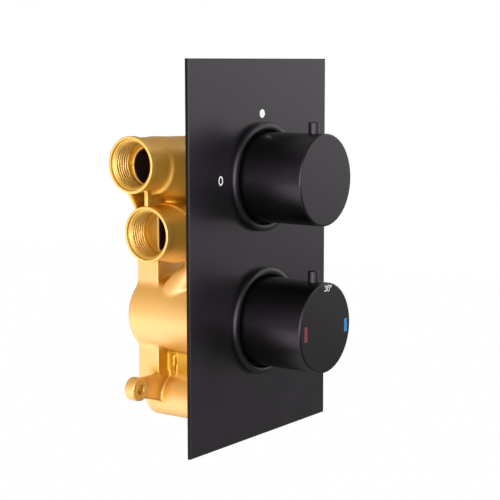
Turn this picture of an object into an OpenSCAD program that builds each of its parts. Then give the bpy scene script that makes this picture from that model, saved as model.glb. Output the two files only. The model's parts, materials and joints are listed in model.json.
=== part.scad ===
// Thermostatic shower valve for building into a wall: a cast brass body behind a tall face
// plate, with a flow control above and a temperature control below.
// The plate's back lies on the wall face. X runs to the right, Y into the wall and Z up.
// The origin is the centre of the plate's back face. Lengths are in millimetres.
// Every piece is drawn in a front view, with z out of the wall, and then stood up.

/* [Face plate] */
// Width of the face plate
plate_w = 128; // [124:1:150]
// Height of the face plate
plate_h = 210; // [200:1:240]
// Thickness of the face plate
plate_t = 2; // [1.5:0.5:4]
// Bevel round the front of the plate
plate_edge = 0.5; // [0.2:0.1:0.8]
// Distance between the two control axes
control_spacing = 80; // [78:0.5:84]
// Height of the middle of the two controls above the middle of the plate
control_lift = 0.6; // [-4:0.2:4]

/* [Knobs] */
// Diameter of a knob
knob_d = 49.5; // [48.5:0.5:53]
// How far a knob's face stands out from the plate
knob_reach = 42.6; // [40:0.2:50]
// Thickness of a knob's round wall
knob_wall = 2.6; // [2.2:0.1:3]
// Thickness of a knob's face
knob_face_t = 3; // [2.4:0.1:3.5]
// Rounding round a knob's face
knob_edge = 1; // [0.3:0.1:1.2]
// Diameter of the hub inside a knob
knob_hub_d = 25; // [24:0.2:26]
// Length of the hub inside a knob
knob_hub_len = 19.6; // [18:0.2:21]
// How far a knob's rim reaches into its collar
knob_lap = 2.5; // [1:0.5:3.5]
// Diameter of the pin on each knob
pin_d = 6; // [5:0.2:6.4]
// How far a pin stands out of its knob
pin_stand = 6; // [4:0.5:8]
// Distance of a pin's axis behind the knob's face
pin_setback = 8; // [7.6:0.2:9]
// Travel of the safety button
button_travel = 3; // [2:0.2:3.4]

/* [Collars and sleeves] */
// Gap between a knob and its collar
knob_gap = 0.85; // [0.5:0.05:1.5]
// Width of a collar's rim
collar_rim = 4.4; // [4:0.1:6]
// How far a collar stands out from the plate
collar_proud = 4.5; // [4:0.1:7]
// Rounding of a collar's outer edge
collar_round = 2; // [0.6:0.1:2]
// Thickness of the collar's tail that goes through the plate
collar_tail_t = 1.1; // [0.8:0.1:1.6]
// Length of the collar's tail behind the plate
collar_tail_len = 3.5; // [2.5:0.5:5]
// Width of the ring nut on the collar's tail
collar_nut_w = 4.3; // [3.6:0.1:6]
// Gap between a knob's wall and the sleeve inside it
sleeve_gap = 0.75; // [0.5:0.05:1]
// Thickness of a sleeve
sleeve_t = 1.6; // [1.2:0.1:1.8]
// How far a sleeve stands out from the plate
sleeve_reach = 12; // [9:0.5:12.4]

/* [Valve body] */
// Distance of the barrels' front faces behind the wall face
body_setback = 8; // [7:0.5:10]
// Length of the turned neck at the front of each barrel
neck_len = 10; // [8:0.5:12]
// Step from a neck to the cast barrel behind it
neck_step = 1.25; // [0.8:0.05:2]
// Depth of the casting behind the wall face
body_depth = 77.5; // [77:0.5:82]
// How far the lower barrel's outside is cast below its bore
mix_drop = 2.8; // [1.4:0.2:3.4]
// Rounding of the barrels' back edges
barrel_round = 2.5; // [1:0.5:4]
// Depth of the port axes behind the wall face
port_depth = 42; // [41:0.5:44]
// Height of the outlet port above the flow control's axis
outlet_rise = 8; // [6:0.5:9]
// Distance of the outlet port's mouth from the middle of the body
outlet_reach = 59; // [56:0.5:62]
// Distance of the inlets' axis below the flow control's axis
inlet_drop = 30.7; // [30:0.1:32]
// Distance of an inlet's mouth from the middle of the body
inlet_reach = 46.5; // [44:0.5:52]
// Radius of a port's bore inside its thread, G3/4
port_bore_r = 12.06; // [11.8:0.02:12.2]
// Length of a port's threaded bore
port_thread_len = 13; // [11:0.5:14]
// Radius of a port's rim
port_rim_r = 15.4; // [15.2:0.05:16.5]
// Length of a port's rim
port_rim_len = 4; // [3:0.5:6]
// Radius of a port's neck behind the rim
port_neck_r = 14.6; // [14.2:0.1:15.2]
// Radius of the waterway behind the outlet port
outlet_way_r = 9.6; // [8:0.1:9.8]
// Radius of the waterway behind an inlet, which is open on its front side only
inlet_way_r = 10.2; // [9.5:0.1:11]
// Radius of the outlet chamber beside the flow barrel
chamber_r = 17.5; // [16.5:0.1:18]
// Distance of the outlet chamber's end from the middle of the body
chamber_reach = 41; // [36:0.5:43]
// Width of the spine at the back
spine_w = 25.6; // [22:0.2:28]
// Depth of the spine from back to front
spine_t = 15.5; // [14:0.5:18]
// Radius of the closed boss at the bottom
foot_r = 12.6; // [11.6:0.2:15]
// Height of the bottom boss's axis below the plate's middle
foot_drop = 90.6; // [88:0.2:94]
// Distance of a fixing hole from the middle of the body
lug_reach = 34; // [30:0.5:38]
// Height of the fixing holes below the plate's middle
lug_drop = 81; // [79:0.5:84]
// Radius of a fixing lug
lug_r = 6.7; // [6:0.1:8]
// Thickness of a fixing lug
lug_t = 7; // [5:0.5:10]
// Depth of a fixing lug's front behind the wall face
lug_depth = 57.5; // [54:0.5:60]
// Radius of a fixing hole
lug_hole_r = 2.65; // [2:0.05:3.2]

/* [Flow cartridge] */
// Radius of the bore that holds the flow cartridge
flow_bore_r = 12.5; // [12.2:0.1:13.2]
// Radius of the thread that holds the flow cartridge
flow_thread_r = 14; // [13.6:0.1:15]
// Depth of the flow cartridge's seat behind the wall face
flow_seat_depth = 52; // [50:0.5:54]
// Radius of a spindle's stem
stem_r = 4.95; // [4.8:0.05:5.2]
// Thickness of a ceramic disc
disc_t = 3.4; // [3:0.1:4]
// Angle that the flow control turns through
flow_turn = 90; // [80:1:100]

/* [Temperature cartridge] */
// Radius of the bore that holds the temperature cartridge
mix_bore_r = 16.2; // [15.9:0.1:16.4]
// Radius of the thread that holds the temperature cartridge
mix_thread_r = 17.2; // [17:0.1:17.4]
// Radius of the sliding valve's bore
shuttle_bore_r = 12.4; // [12.2:0.05:12.6]
// Length of the sliding valve
shuttle_len = 13; // [12:0.2:13.4]
// Gap at the cold seat with the knob at its 38 degree mark
cold_gap = 1.2; // [0.8:0.1:1.4]
// Gap at the hot seat with the knob at its 38 degree mark
hot_gap = 1.4; // [1.3:0.1:1.8]
// Radius of the wax cup
wax_r = 4.6; // [4:0.1:5]

/* [Hidden] */
$fn = 64;

// Overrun of a cut past the face that it opens, and of one piece into the piece it grows from
over = 1;
// Clearance of a shaft in its bore, and of a thread, which is drawn plain
fit = 0.05;
// Clearance between pieces that pass each other
clear = 0.3;
// Gap between two faces that turn on each other
lap = 0.05;

// Heights of the two control axes above the plate's middle
flow_y = control_lift + control_spacing / 2;
mix_y = control_lift - control_spacing / 2;

// Levels out of the wall that the outside pieces share
collar_front = plate_t + collar_proud;
knob_front = plate_t + knob_reach;
knob_back = collar_front - knob_lap;
knob_inside = knob_front - knob_face_t;
hub_back = knob_inside - knob_hub_len;
pin_z = knob_front - pin_setback;
sleeve_front = plate_t + sleeve_reach;
neck_front = -body_setback;
neck_back = neck_front - neck_len;

// Radii, from the knob outwards and inwards
knob_r = knob_d / 2;
knob_in_r = knob_r - knob_wall;
hub_r = knob_hub_d / 2;
collar_in_r = knob_r + knob_gap;
collar_r = collar_in_r + collar_rim;
tail_r = collar_in_r + collar_tail_t;
plate_hole_r = tail_r + clear;
nut_in_r = tail_r + fit;
collar_nut_r = nut_in_r + collar_nut_w;
sleeve_r = knob_in_r - sleeve_gap;
sleeve_in_r = sleeve_r - sleeve_t;
neck_r = sleeve_in_r - fit;
barrel_r = neck_r + neck_step;
pin_r = pin_d / 2;

// Rounding of a collar's inner edge, and the slots in its nut
inner_round_share = 0.9;
collar_inner_round = collar_round * inner_round_share;
nut_slot_in = 2;
nut_slot_w = 4;
nut_slot_t = 3;
// Front of the rubber ring in a collar, and the groove round it
seal_front = 0.6;
seal_groove_wire = 0.9;
// Bevel on a pin's top, and how deep its foot is let into the knob
pin_chamfer = 0.5;
pin_sink = 0.35;

// Ribs inside a knob
rib_t = 2;
rib_h = 7.6;
rib_sink = 0.5;
rib_turn = 45;
rib_count = 4;

// Splined adaptor between a spindle and its knob
adaptor_r = 8;
adaptor_flat = 7.2;
adaptor_play = 0.2;
adaptor_inset = 2;
spline_teeth = 20;
spline_tip_r = 4.4;
spline_root_r = 3.9;
spline_len = 15;
stem_short = 5.6;
stem_end = knob_inside - stem_short;
adaptor_back = hub_back + adaptor_inset;
adaptor_front = knob_inside - adaptor_play;

// Screws in the knobs
shank_r = 2;
grub_r = 2;
grub_up = 6;
grub_short = 0.5;
socket_r = 1.15;
socket_t = 1.6;
grub_z = hub_back + grub_up;

// Seals on round shafts, their grooves, and the spring clips
ring_wire = 1.1;
ring_squeeze = 0.02;
ring_play = 0.03;
groove_play = 0.1;
stem_bore_r = stem_r + fit;
clip_t = 1;
clip_lift = 0.1;
clip_in_r = 4.25;
clip_r = 6.8;
clip_gap = 3;
groove_r = 4.2;

// Flow cartridge, from its seat forwards
flow_seat = -flow_seat_depth;
base_seal_t = 3;
base_seal_in_r = 6.5;
seal_stand = 0.6;
tube_play = 0.6;
tube_wall = 1.9;
disc_play = 0.1;
moving_play = 0.4;
disc_in_r = 2.6;
window_share = 0.9;
window_turn_share = 0.4;
window_half = flow_turn * window_turn_share;
driver_t = 5;
driver_flange_t = 1.6;
driver_w = 8;
washer_t = 1;
flow_tube_r = flow_bore_r - tube_play;
flow_room_r = flow_tube_r - tube_wall;
fixed_r = flow_room_r - disc_play;
moving_r = flow_room_r - moving_play;
flow_end = flow_seat + seal_stand;
fixed_back = flow_seat + base_seal_t;
fixed_front = fixed_back + disc_t;
moving_back = fixed_front + lap;
moving_front = moving_back + disc_t;
driver_front = moving_front + driver_t;
washer_back = driver_front + lap;
washer_front = washer_back + washer_t;
room_front = washer_front + lap;
flow_thread_len = 13;
flow_thread_back = neck_front - flow_thread_len;
flow_ledge = flow_thread_back - over;
flow_hex_flats = 30;
flow_hex_t = 7;
flow_neck_r = 8.5;
flow_neck_len = 11;
flow_neck_back = neck_front + flow_hex_t;
flow_neck_front = flow_neck_back + flow_neck_len;
flow_clip_back = flow_neck_front + clip_lift;
flow_seal_wire = 1.6;
flow_seal_set = 3.5;
flow_seal_level = flow_thread_back - flow_seal_set;
flow_seal_r = flow_bore_r - ring_squeeze - flow_seal_wire / 2;
flow_groove_r = flow_seal_r - flow_seal_wire / 2 - ring_play;
flow_window_w = 12;
stem_seal_set = 12;
stem_seal_pitch = 6;
stem_seals = 2;
flow_seal_levels = [
    for (i = [0 : stem_seals - 1]) flow_neck_front - stem_seal_set - i * stem_seal_pitch
];
seat_way_r = 7.5;

// Temperature cartridge, from the housing's flange inwards and outwards
mix_ledge = -23;
mix_flange_t = 3;
mix_bore_depth = 66;
mix_room_depth = 73;
mix_room_r = 11;
mix_nut_stand = 2;
mix_nut_back = mix_ledge + mix_flange_t;
mix_nut_front = neck_front + mix_nut_stand;
mix_neck_r = 12.3;
mix_neck_front = 8;
mix_neck_cap = 4;
mix_clip_back = mix_neck_front + clip_lift;
mix_stem_seal = mix_neck_front - mix_neck_cap / 2;
mix_end_gap = 0.5;
mix_end = mix_end_gap - mix_bore_depth;
land_r = mix_bore_r - 2 * fit;
recess_r = 14.2;
cold_recess_front = -32;
cold_recess_back = -40;
hot_recess_front = -44;
hot_recess_set = 12.5;
hot_recess_back = mix_end + hot_recess_set;
mix_seal_front = -27;
mix_seal_middle = -42;
mix_seal_set = 10;
mix_seal_levels = [mix_seal_front, mix_seal_middle, mix_end + mix_seal_set];
mix_seal_wire = 1.6;
mix_groove_r = mix_bore_r - ring_squeeze - mix_seal_wire - ring_play;
mix_groove_half = mix_seal_wire / 2 + groove_play;
strainer_t = 0.5;
strainer_r = recess_r + strainer_t;
strainer_slots = 24;
strainer_slot_w = 1.2;
strainer_rim = 1;

// Cup of the temperature spindle and the pusher in it
cup_r = 9.95;
cup_bore_r = 7;
cup_back = -28;
cup_front = mix_neck_front - mix_neck_cap;
cup_roof = -2;
pusher_r = cup_bore_r - 2 * fit;
pusher_bore_r = 5;
pusher_back = -27;
pusher_front = -8;
pusher_roof = -11;
overload_seat_back = -22.6;
overload_seat_t = 1.5;
overload_seat_front = overload_seat_back + overload_seat_t;

// Sliding valve, its seats and the wax element
cold_seat = -33;
shuttle_front = cold_seat - cold_gap;
shuttle_back = shuttle_front - shuttle_len;
shuttle_wall = 1.4;
shuttle_r = shuttle_bore_r - fit;
shuttle_in_r = shuttle_r - shuttle_wall;
shuttle_hub_set = 6.3;
shuttle_hub_t = 2.5;
shuttle_hub_back = shuttle_front - shuttle_hub_set;
shuttle_hub_front = shuttle_hub_back + shuttle_hub_t;
shuttle_seal_level = shuttle_hub_back + shuttle_hub_t / 2;
hub_hole_r = 3.6;
hub_port_r = 1.5;
hub_port_at = (hub_hole_r + shuttle_in_r) / 2;
hub_ports = 6;
hot_seat_front = shuttle_back - hot_gap;
hot_seat_t = 3;
hot_seat_in_r = 9.8;
window_w = 6;
window_count = 6;
window_inset = 0.2;
cold_window_len = 3;
hot_window_len = 3.4;
wax_flange_r = 6;
wax_flange_t = 2.5;
wax_guide_r = 3.5;
wax_guide_len = 9.5;
wax_inset = 5.5;
wax_end = mix_end + wax_inset;
wax_round_share = 0.3;
guide_front = shuttle_hub_back + wax_guide_len;
piston_r = 1.5;
retainer_t = 3;
retainer_in_r = 7;
retainer_front = mix_end + retainer_t;

// Stop ring and the inside of the safety button
stop_in_r = mix_neck_r + fit;
stop_gap = 0.4;
stop_r = sleeve_in_r - stop_gap;
stop_back = 3;
stop_t = 3;
stop_front = stop_back + stop_t;
lug_w = 4;
lug_rad_t = 3;
tab_back = 16.5;
tab_w = 5;
tab_t = 1.8;
tab_hook = 0.4;
button_flange_r = 4.2;
button_flange_t = 1.4;
button_rest = 0.75;
button_flange_top = knob_in_r - button_rest;
button_flange_low = button_flange_top - button_flange_t;
tab_low = button_flange_low + tab_hook - tab_t;
tab_front = pin_z - pin_r;
spigot_r = 1.3;
spigot_len = button_travel;

// Springs: wire, coil radius and turns
spring_sides = 6;
spring_steps = 8;
overload_wire_r = 0.5;
overload_coil_r = 4.1;
overload_turns = 6;
return_wire_r = 0.6;
return_coil_r = 8.4;
return_turns = 6;
button_wire_r = 0.25;
button_coil_r = 2;
button_turns = 6;
spring_play = 0.15;

// Ports and waterways of the casting
outlet_y = flow_y + outlet_rise;
inlet_y = flow_y - inlet_drop;
port_z = -port_depth;
mouth_flare = 1.4;
mouth_len = 1.4;
inlet_wall = 2;
way_drop = 1.5;
way_back = 2.8;
chamber_drop = 5.1;
back_wall = 2;
// Inlet chambers behind the inlets' necks
inlet_chamber_r = 18;
inlet_chamber_reach = 24;
inlet_shoulder = 1;
// Ducts from the inlets to the lower barrel: the hot one has a knee, the cold one is straight
duct_x = 7;
duct_r = 3.6;
duct_wall = 3;
duct_foot_r = 10;
duct_ball_grow = 0.5;
duct_foot_rise = 12.4;
hot_duct_z = -38;
hot_knee_rise = 27.4;
hot_foot_z = -50;
cold_duct_z = -36;
duct_out_r = duct_r + duct_wall;
hot_top = [-duct_x, inlet_y, hot_duct_z];
hot_knee = [-duct_x, mix_y + hot_knee_rise, hot_duct_z];
hot_foot = [-duct_x, mix_y + duct_foot_rise, hot_foot_z];
cold_top = [duct_x, inlet_y, cold_duct_z];
cold_foot = [duct_x, mix_y + duct_foot_rise, cold_duct_z];
mixed_duct_r = 5.5;
mixed_duct_z = back_wall + mixed_duct_r - body_depth;

// Outside of the casting
mix_barrel_grow = 0.6;
mix_back_grow = 1.2;
mix_barrel_r = barrel_r + mix_barrel_grow;
spine_chamfer = 0.8;
web_t = 2.8;
web_set = 1.5;
back_web_z = -55;
back_web_lean = 6;
back_web_set = 10;
foot_front = -25;
foot_back = -75;
foot_round = 5;
lug_arm_share = 0.75;
lug_arm_set = 3.5;
// Web between the lower barrel and the foot, with a small rib on its left face
gap_web_t = 10;
gap_web_front = -32;
gap_rib_z = -56.7;
gap_rib_w = 3.4;
gap_rib_t = 1.6;
gap_rib_h = 7;

// Stands the front view up against the wall
module stand() {
    rotate([90, 0, 0]) children();
}

// Puts a piece on the axis of the flow control
module at_flow() {
    stand() translate([0, flow_y, 0]) children();
}

// Puts a piece on the axis of the temperature control
module at_mix() {
    stand() translate([0, mix_y, 0]) children();
}

// Round bar along z between two levels
module rod(r, back, front) {
    translate([0, 0, back]) cylinder(r = r, h = front - back);
}

// Round tube along z between two levels
module tube(r_out, r_in, back, front) {
    difference() {
        rod(r_out, back, front);
        rod(r_in, back - over, front + over);
    }
}

// Round bar along x
module rod_x(r, left, right) {
    translate([left, 0, 0]) rotate([0, 90, 0]) cylinder(r = r, h = right - left);
}

// Round bar along y
module rod_y(r, low, high) {
    translate([0, low, 0]) rotate([-90, 0, 0]) cylinder(r = r, h = high - low);
}

// Round bar from one point to another, which may taper
module bar(r, from, to, end_r) {
    step = to - from;
    reach = norm(step);
    translate(from) rotate([0, acos(step[2] / reach), atan2(step[1], step[0])])
        cylinder(r1 = r, r2 = end_r, h = reach);
}

// Rubber ring round z
module torus(ring_r, wire_r, level) {
    translate([0, 0, level]) rotate_extrude() translate([ring_r, 0]) circle(r = wire_r);
}

// Bar along z whose back edge is rounded
module round_back(r, back, front, edge) {
    translate([0, 0, back]) rotate_extrude() {
        square([r - edge, edge]);
        translate([0, edge]) square([r, front - back - edge]);
        intersection() {
            translate([r - edge, edge]) circle(r = edge);
            square([r, edge]);
        }
    }
}

// Outline of a spline with pointed teeth, as star points round z
function spline_points(tip, root) = [
    for (i = [0 : 2 * spline_teeth - 1])
        (i % 2 == 0 ? tip : root) * [cos(180 * i / spline_teeth), sin(180 * i / spline_teeth)]
];

module spline(tip, root, back, front) {
    translate([0, 0, back]) linear_extrude(front - back) polygon(spline_points(tip, root));
}

// Wedge along z that spans half_angle each side of the x axis, past radius r
module wedge(r, half_angle, back, front) {
    side = r * tan(half_angle);
    translate([0, 0, back]) linear_extrude(front - back) polygon([[0, 0], [r, -side], [r, side]]);
}

// Coil spring round z as one tube swept along a helix
function coil_point(coil_r, wire_r, back, rise, turns, ring, side) =
    let (
        t = 360 * ring / spring_steps,
        out = coil_r + wire_r * cos(360 * side / spring_sides),
        level = back + rise * ring / (turns * spring_steps) + wire_r * sin(360 * side / spring_sides)
    )
    [out * cos(t), out * sin(t), level];

module coil(coil_r, wire_r, back, front, turns) {
    rings = turns * spring_steps;
    foot = back + wire_r;
    rise = front - back - 2 * wire_r;
    points = [
        for (ring = [0 : rings], side = [0 : spring_sides - 1])
            coil_point(coil_r, wire_r, foot, rise, turns, ring, side)
    ];
    walls = [
        for (ring = [0 : rings - 1], side = [0 : spring_sides - 1])
            let (
                next = (side + 1) % spring_sides,
                a = ring * spring_sides + side,
                b = ring * spring_sides + next,
                c = a + spring_sides,
                d = b + spring_sides
            )
            each [[a, b, c], [b, d, c]]
    ];
    first_cap = [for (side = [1 : spring_sides - 2]) [0, side + 1, side]];
    last = rings * spring_sides;
    last_cap = [for (side = [1 : spring_sides - 2]) [last, last + side, last + side + 1]];
    polyhedron(points = points, faces = concat(walls, first_cap, last_cap));
}

// Face plate with a bevelled front edge and a hole for each control
module faceplate() {
    flat_w = plate_w - 2 * plate_edge;
    flat_h = plate_h - 2 * plate_edge;
    color("#26262a") stand() difference() {
        translate([-plate_w / 2, -plate_h / 2, 0]) cube([plate_w, plate_h, plate_t]);
        for (side = [-1, 1]) {
            translate([side * plate_w / 2, 0, plate_t]) bevel_cut(plate_h);
            translate([0, side * plate_h / 2, plate_t]) rotate([0, 0, 90]) bevel_cut(plate_w);
        }
        for (y = [flow_y, mix_y]) translate([0, y, 0]) rod(plate_hole_r, -over, plate_t + over);
    }
}

// Bar of square section, turned on its corner, that cuts a bevel along y
module bevel_cut(length) {
    cut = plate_edge * sqrt(2);
    reach = length + 2 * over;
    rotate([0, 45, 0]) translate([-cut / 2, -reach / 2, -cut / 2]) cube([cut, reach, cut]);
}

// Round collar with a tail that goes through the plate
module collar() {
    outer_at = collar_r - collar_round;
    inner_at = collar_in_r + collar_inner_round;
    round_low = collar_front - collar_round;
    rotate_extrude() {
        translate([collar_in_r, -collar_tail_len])
            square([collar_tail_t, collar_tail_len + plate_t + over]);
        translate([collar_in_r, plate_t]) square([collar_rim, round_low - plate_t]);
        translate([inner_at, round_low]) square([outer_at - inner_at, collar_round]);
        translate([outer_at, round_low]) intersection() {
            circle(r = collar_round);
            square([collar_round, collar_round]);
        }
        translate([collar_in_r, round_low]) square([collar_inner_round, collar_round - collar_inner_round]);
        translate([inner_at, collar_front - collar_inner_round]) intersection() {
            circle(r = collar_inner_round);
            translate([-collar_inner_round, 0]) square([collar_inner_round, collar_inner_round]);
        }
    }
}

module upper_collar() {
    color("#1c1c1f") at_flow() collar();
}

module lower_collar() {
    color("#1c1c1f") at_mix() collar();
}

// Ring nut that clamps the plate from behind, with spanner slots
module collar_nut() {
    difference() {
        tube(collar_nut_r, nut_in_r, -collar_tail_len, 0);
        for (turn = [0 : 90 : 270]) rotate([0, 0, turn])
            translate([collar_nut_r - nut_slot_in, -nut_slot_w / 2, -collar_tail_len - over])
                cube([nut_slot_in + over, nut_slot_w, collar_tail_len / 2 + over]);
    }
}

module upper_collar_nut() {
    color("#3a3a3e") at_flow() collar_nut();
}

module lower_collar_nut() {
    color("#3a3a3e") at_mix() collar_nut();
}

// Rubber ring between a sleeve and its collar, with a groove round its outside
module collar_seal() {
    difference() {
        tube(collar_in_r - fit, sleeve_r + fit, -collar_tail_len + fit, seal_front);
        torus(collar_in_r - fit, seal_groove_wire, (seal_front - collar_tail_len) / 2);
    }
}

module upper_collar_seal() {
    color("#303030") at_flow() collar_seal();
}

module lower_collar_seal() {
    color("#303030") at_mix() collar_seal();
}

// Sleeve that slides on a barrel's neck and carries the collar's rubber ring
module sleeve() {
    tube(sleeve_r, sleeve_in_r, neck_back, sleeve_front);
}

module upper_sleeve() {
    color("#505054") at_flow() sleeve();
}

module lower_sleeve() {
    color("#505054") at_mix() sleeve();
}

// Port boss along -x from its mouth to the middle of the body, drawn on its own axis
module port_boss(mouth) {
    rod_x(port_rim_r, -mouth, port_rim_len - mouth);
    rod_x(port_neck_r, -mouth, 0);
}

// Threaded bore, drawn plain, with a bevelled mouth
module port_bore(mouth) {
    thread_end = mouth_len + port_thread_len - mouth;
    rod_x(port_bore_r, -mouth - over, thread_end);
    translate([-mouth, 0, 0]) rotate([0, 90, 0])
        cylinder(r1 = port_bore_r + mouth_flare, r2 = port_bore_r, h = mouth_len);
    translate([-mouth - over, 0, 0]) rotate([0, 90, 0])
        cylinder(r = port_bore_r + mouth_flare, h = over);
}

// Flat web in the xy plane through points, centred on a level
module web(points, level, thick) {
    translate([0, 0, level - thick / 2]) linear_extrude(thick) polygon(points);
}

// Waterway behind an inlet, whose back part is walled off
module inlet_way() {
    intersection() {
        rod_x(inlet_way_r, -inlet_reach, -inlet_wall);
        translate([-inlet_reach, -inlet_way_r, -way_back])
            cube([inlet_reach, 2 * inlet_way_r, inlet_way_r + way_back]);
    }
}

// Both ducts as round bars, with a ball at the hot one's knee
module ducts(r, foot_r) {
    bar(r, hot_top, hot_knee, r);
    translate(hot_knee) sphere(r = r + duct_ball_grow);
    bar(r, hot_knee, hot_foot, foot_r);
    bar(r, cold_top, cold_foot, foot_r);
}

// Shoulder that widens an inlet's neck to the chamber at its root
module inlet_chamber() {
    translate([-inlet_reach + port_rim_len, 0, 0]) rotate([0, 90, 0])
        cylinder(r1 = port_neck_r - inlet_shoulder, r2 = inlet_chamber_r,
            h = inlet_reach - port_rim_len - inlet_chamber_reach);
    rod_x(inlet_chamber_r, -inlet_chamber_reach, 0);
}

// Web that ties the foot to the lower barrel, with a small tapered rib
module gap_web() {
    top = mix_y - mix_drop;
    rib_top = top - mix_barrel_r - gap_rib_t;
    translate([-gap_web_t / 2, -foot_drop, -body_depth + spine_t / 2])
        cube([gap_web_t, top + foot_drop, gap_web_front + body_depth - spine_t / 2]);
    translate([-gap_web_t / 2 - gap_rib_t, 0, 0]) rotate([90, 0, 90]) linear_extrude(gap_rib_t + over)
        polygon([
            [rib_top, gap_rib_z - gap_rib_w / 2], [rib_top, gap_rib_z + gap_rib_w / 2],
            [rib_top - gap_rib_h, gap_rib_z]
        ]);
}

// Fixing lug on the side that side names, with its arm to the bottom boss
module fixing_lug(side) {
    arm = lug_r * lug_arm_share;
    translate([side * lug_reach, -lug_drop, 0]) rod(lug_r, -lug_depth - lug_t, -lug_depth);
    translate([0, 0, -lug_depth - lug_t]) linear_extrude(lug_t - lug_arm_set) polygon([
        [0, -lug_drop + arm], [side * lug_reach, -lug_drop + arm],
        [side * lug_reach, -lug_drop - arm], [0, -foot_drop - arm]
    ]);
}

// Outline of the spine with its edges cut off, seen from above
function spine_outline(half_w, back, front, cut) = [
    [-half_w, back + cut], [-half_w + cut, back], [half_w - cut, back], [half_w, back + cut],
    [half_w, front - cut], [half_w - cut, front], [-half_w + cut, front], [-half_w, front - cut]
];

// Outside of the casting before its bores are cut
module casting_outside() {
    block_front = port_z + port_neck_r / 2;
    translate([0, flow_y, 0]) {
        round_back(barrel_r, -body_depth, neck_back, barrel_round);
        rod(neck_r, neck_back - over, neck_front);
    }
    translate([0, mix_y, 0]) rod(neck_r, neck_back - over, neck_front);
    translate([0, mix_y - mix_drop, 0])
        round_back(mix_barrel_r, -body_depth - mix_back_grow, neck_back, barrel_round);
    translate([0, outlet_y, port_z]) port_boss(outlet_reach);
    translate([0, outlet_y - chamber_drop, port_z]) rod_x(chamber_r, -chamber_reach, 0);
    for (side = [0, 1]) mirror([side, 0, 0])
        translate([0, inlet_y, port_z]) {
            port_boss(inlet_reach);
            inlet_chamber();
        }
    translate([0, -foot_drop, 0]) rotate([-90, 0, 0]) linear_extrude(flow_y + foot_drop)
        mirror([0, 1]) polygon(spine_outline(spine_w / 2, -body_depth,
            spine_t - body_depth, spine_chamfer));
    translate([0, inlet_y - port_neck_r / 2, 0]) rotate([-90, 0, 0]) linear_extrude(outlet_y - inlet_y)
        mirror([0, 1]) polygon(spine_outline(spine_w / 2, -body_depth, block_front, spine_chamfer));
    ducts(duct_out_r, duct_foot_r);
    gap_web();
    web([
        [-inlet_reach + web_set, inlet_y], [-inlet_reach + web_set, outlet_y],
        [0, outlet_y], [0, inlet_y]
    ], port_z - web_t / 2, web_t);
    web([
        [-chamber_reach + back_web_set, inlet_y],
        [-chamber_reach - back_web_lean, outlet_y - port_neck_r],
        [0, outlet_y - port_neck_r], [0, inlet_y]
    ], back_web_z, web_t);
    translate([0, -foot_drop, 0]) round_back(foot_r, foot_back, foot_front, foot_round);
    for (side = [-1, 1]) fixing_lug(side);
}

// Bores, threads drawn plain, and waterways of the casting
module casting_bores() {
    translate([0, flow_y, 0]) {
        rod(flow_thread_r, flow_ledge, neck_front + over);
        rod(flow_bore_r, flow_seat, flow_ledge + over);
        rod(seat_way_r, -body_depth + back_wall + mixed_duct_r, flow_seat + over);
    }
    translate([0, mix_y, 0]) {
        rod(mix_thread_r, mix_ledge, neck_front + over);
        rod(mix_bore_r, -mix_bore_depth, mix_ledge + over);
        rod(mix_room_r, -mix_room_depth, over - mix_bore_depth);
    }
    translate([0, outlet_y, port_z]) port_bore(outlet_reach);
    translate([0, outlet_y - way_drop, port_z]) rod_x(outlet_way_r, -outlet_reach, 0);
    for (side = [0, 1]) mirror([side, 0, 0]) translate([0, inlet_y, port_z]) {
        port_bore(inlet_reach);
        inlet_way();
    }
    ducts(duct_r, duct_r);
    translate([0, 0, mixed_duct_z]) rod_y(mixed_duct_r, mix_y, flow_y);
    for (side = [-1, 1]) translate([side * lug_reach, -lug_drop, 0])
        rod(lug_hole_r, -lug_depth - lug_t - over, over - lug_depth);
}

// Cast brass body with its two barrels, three ports and two fixing lugs
module valve_body() {
    color("#c88c3a") stand() difference() {
        casting_outside();
        casting_bores();
    }
}

// Knob as a hollow cup with a hub and ribs, without its side holes
module knob_shell() {
    edge_at = knob_r - knob_edge;
    rotate_extrude() {
        translate([knob_in_r, knob_back]) square([knob_wall, knob_front - knob_edge - knob_back]);
        translate([0, knob_inside]) square([edge_at, knob_face_t]);
        translate([knob_in_r, knob_inside]) square([knob_wall, knob_face_t - knob_edge]);
        translate([edge_at, knob_front - knob_edge]) intersection() {
            circle(r = knob_edge);
            square([knob_edge, knob_edge]);
        }
    }
    rod(hub_r, hub_back, knob_inside + over);
    for (i = [0 : rib_count - 1]) rotate([0, 0, rib_turn + 360 * i / rib_count])
        translate([hub_r - rib_sink, -rib_t / 2, knob_inside - rib_h])
            cube([knob_in_r - hub_r + 2 * rib_sink, rib_t, rib_h + over]);
}

// Round bar with two flats, for the splined adaptor and its seat in the hub
module flatted(r, flat, back, front) {
    intersection() {
        rod(r, back, front);
        translate([-flat, -r, back]) cube([2 * flat, 2 * r, front - back]);
    }
}

// Radial hole or screw from radius inner to radius outer, towards the top of the knob
module radial(r, inner, outer, level) {
    translate([0, 0, level]) rod_y(r, inner, outer);
}

// Hub bore and the grub screw's hole, which every knob has
module knob_cuts() {
    flatted(adaptor_r + fit, adaptor_flat + fit, hub_back - over, knob_inside);
    mirror([0, 1, 0]) radial(grub_r + fit, adaptor_flat, knob_r + over, grub_z);
}

module flow_knob() {
    color("#1d1d20") at_flow() difference() {
        knob_shell();
        knob_cuts();
        radial(shank_r + fit, adaptor_flat, knob_r + over, pin_z);
        radial(pin_r + fit, knob_r - pin_sink, knob_r + over, pin_z);
    }
}

module temperature_knob() {
    color("#1d1d20") at_mix() difference() {
        knob_shell();
        knob_cuts();
        radial(pin_r + fit, knob_in_r - over, knob_r + over, pin_z);
    }
}

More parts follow.
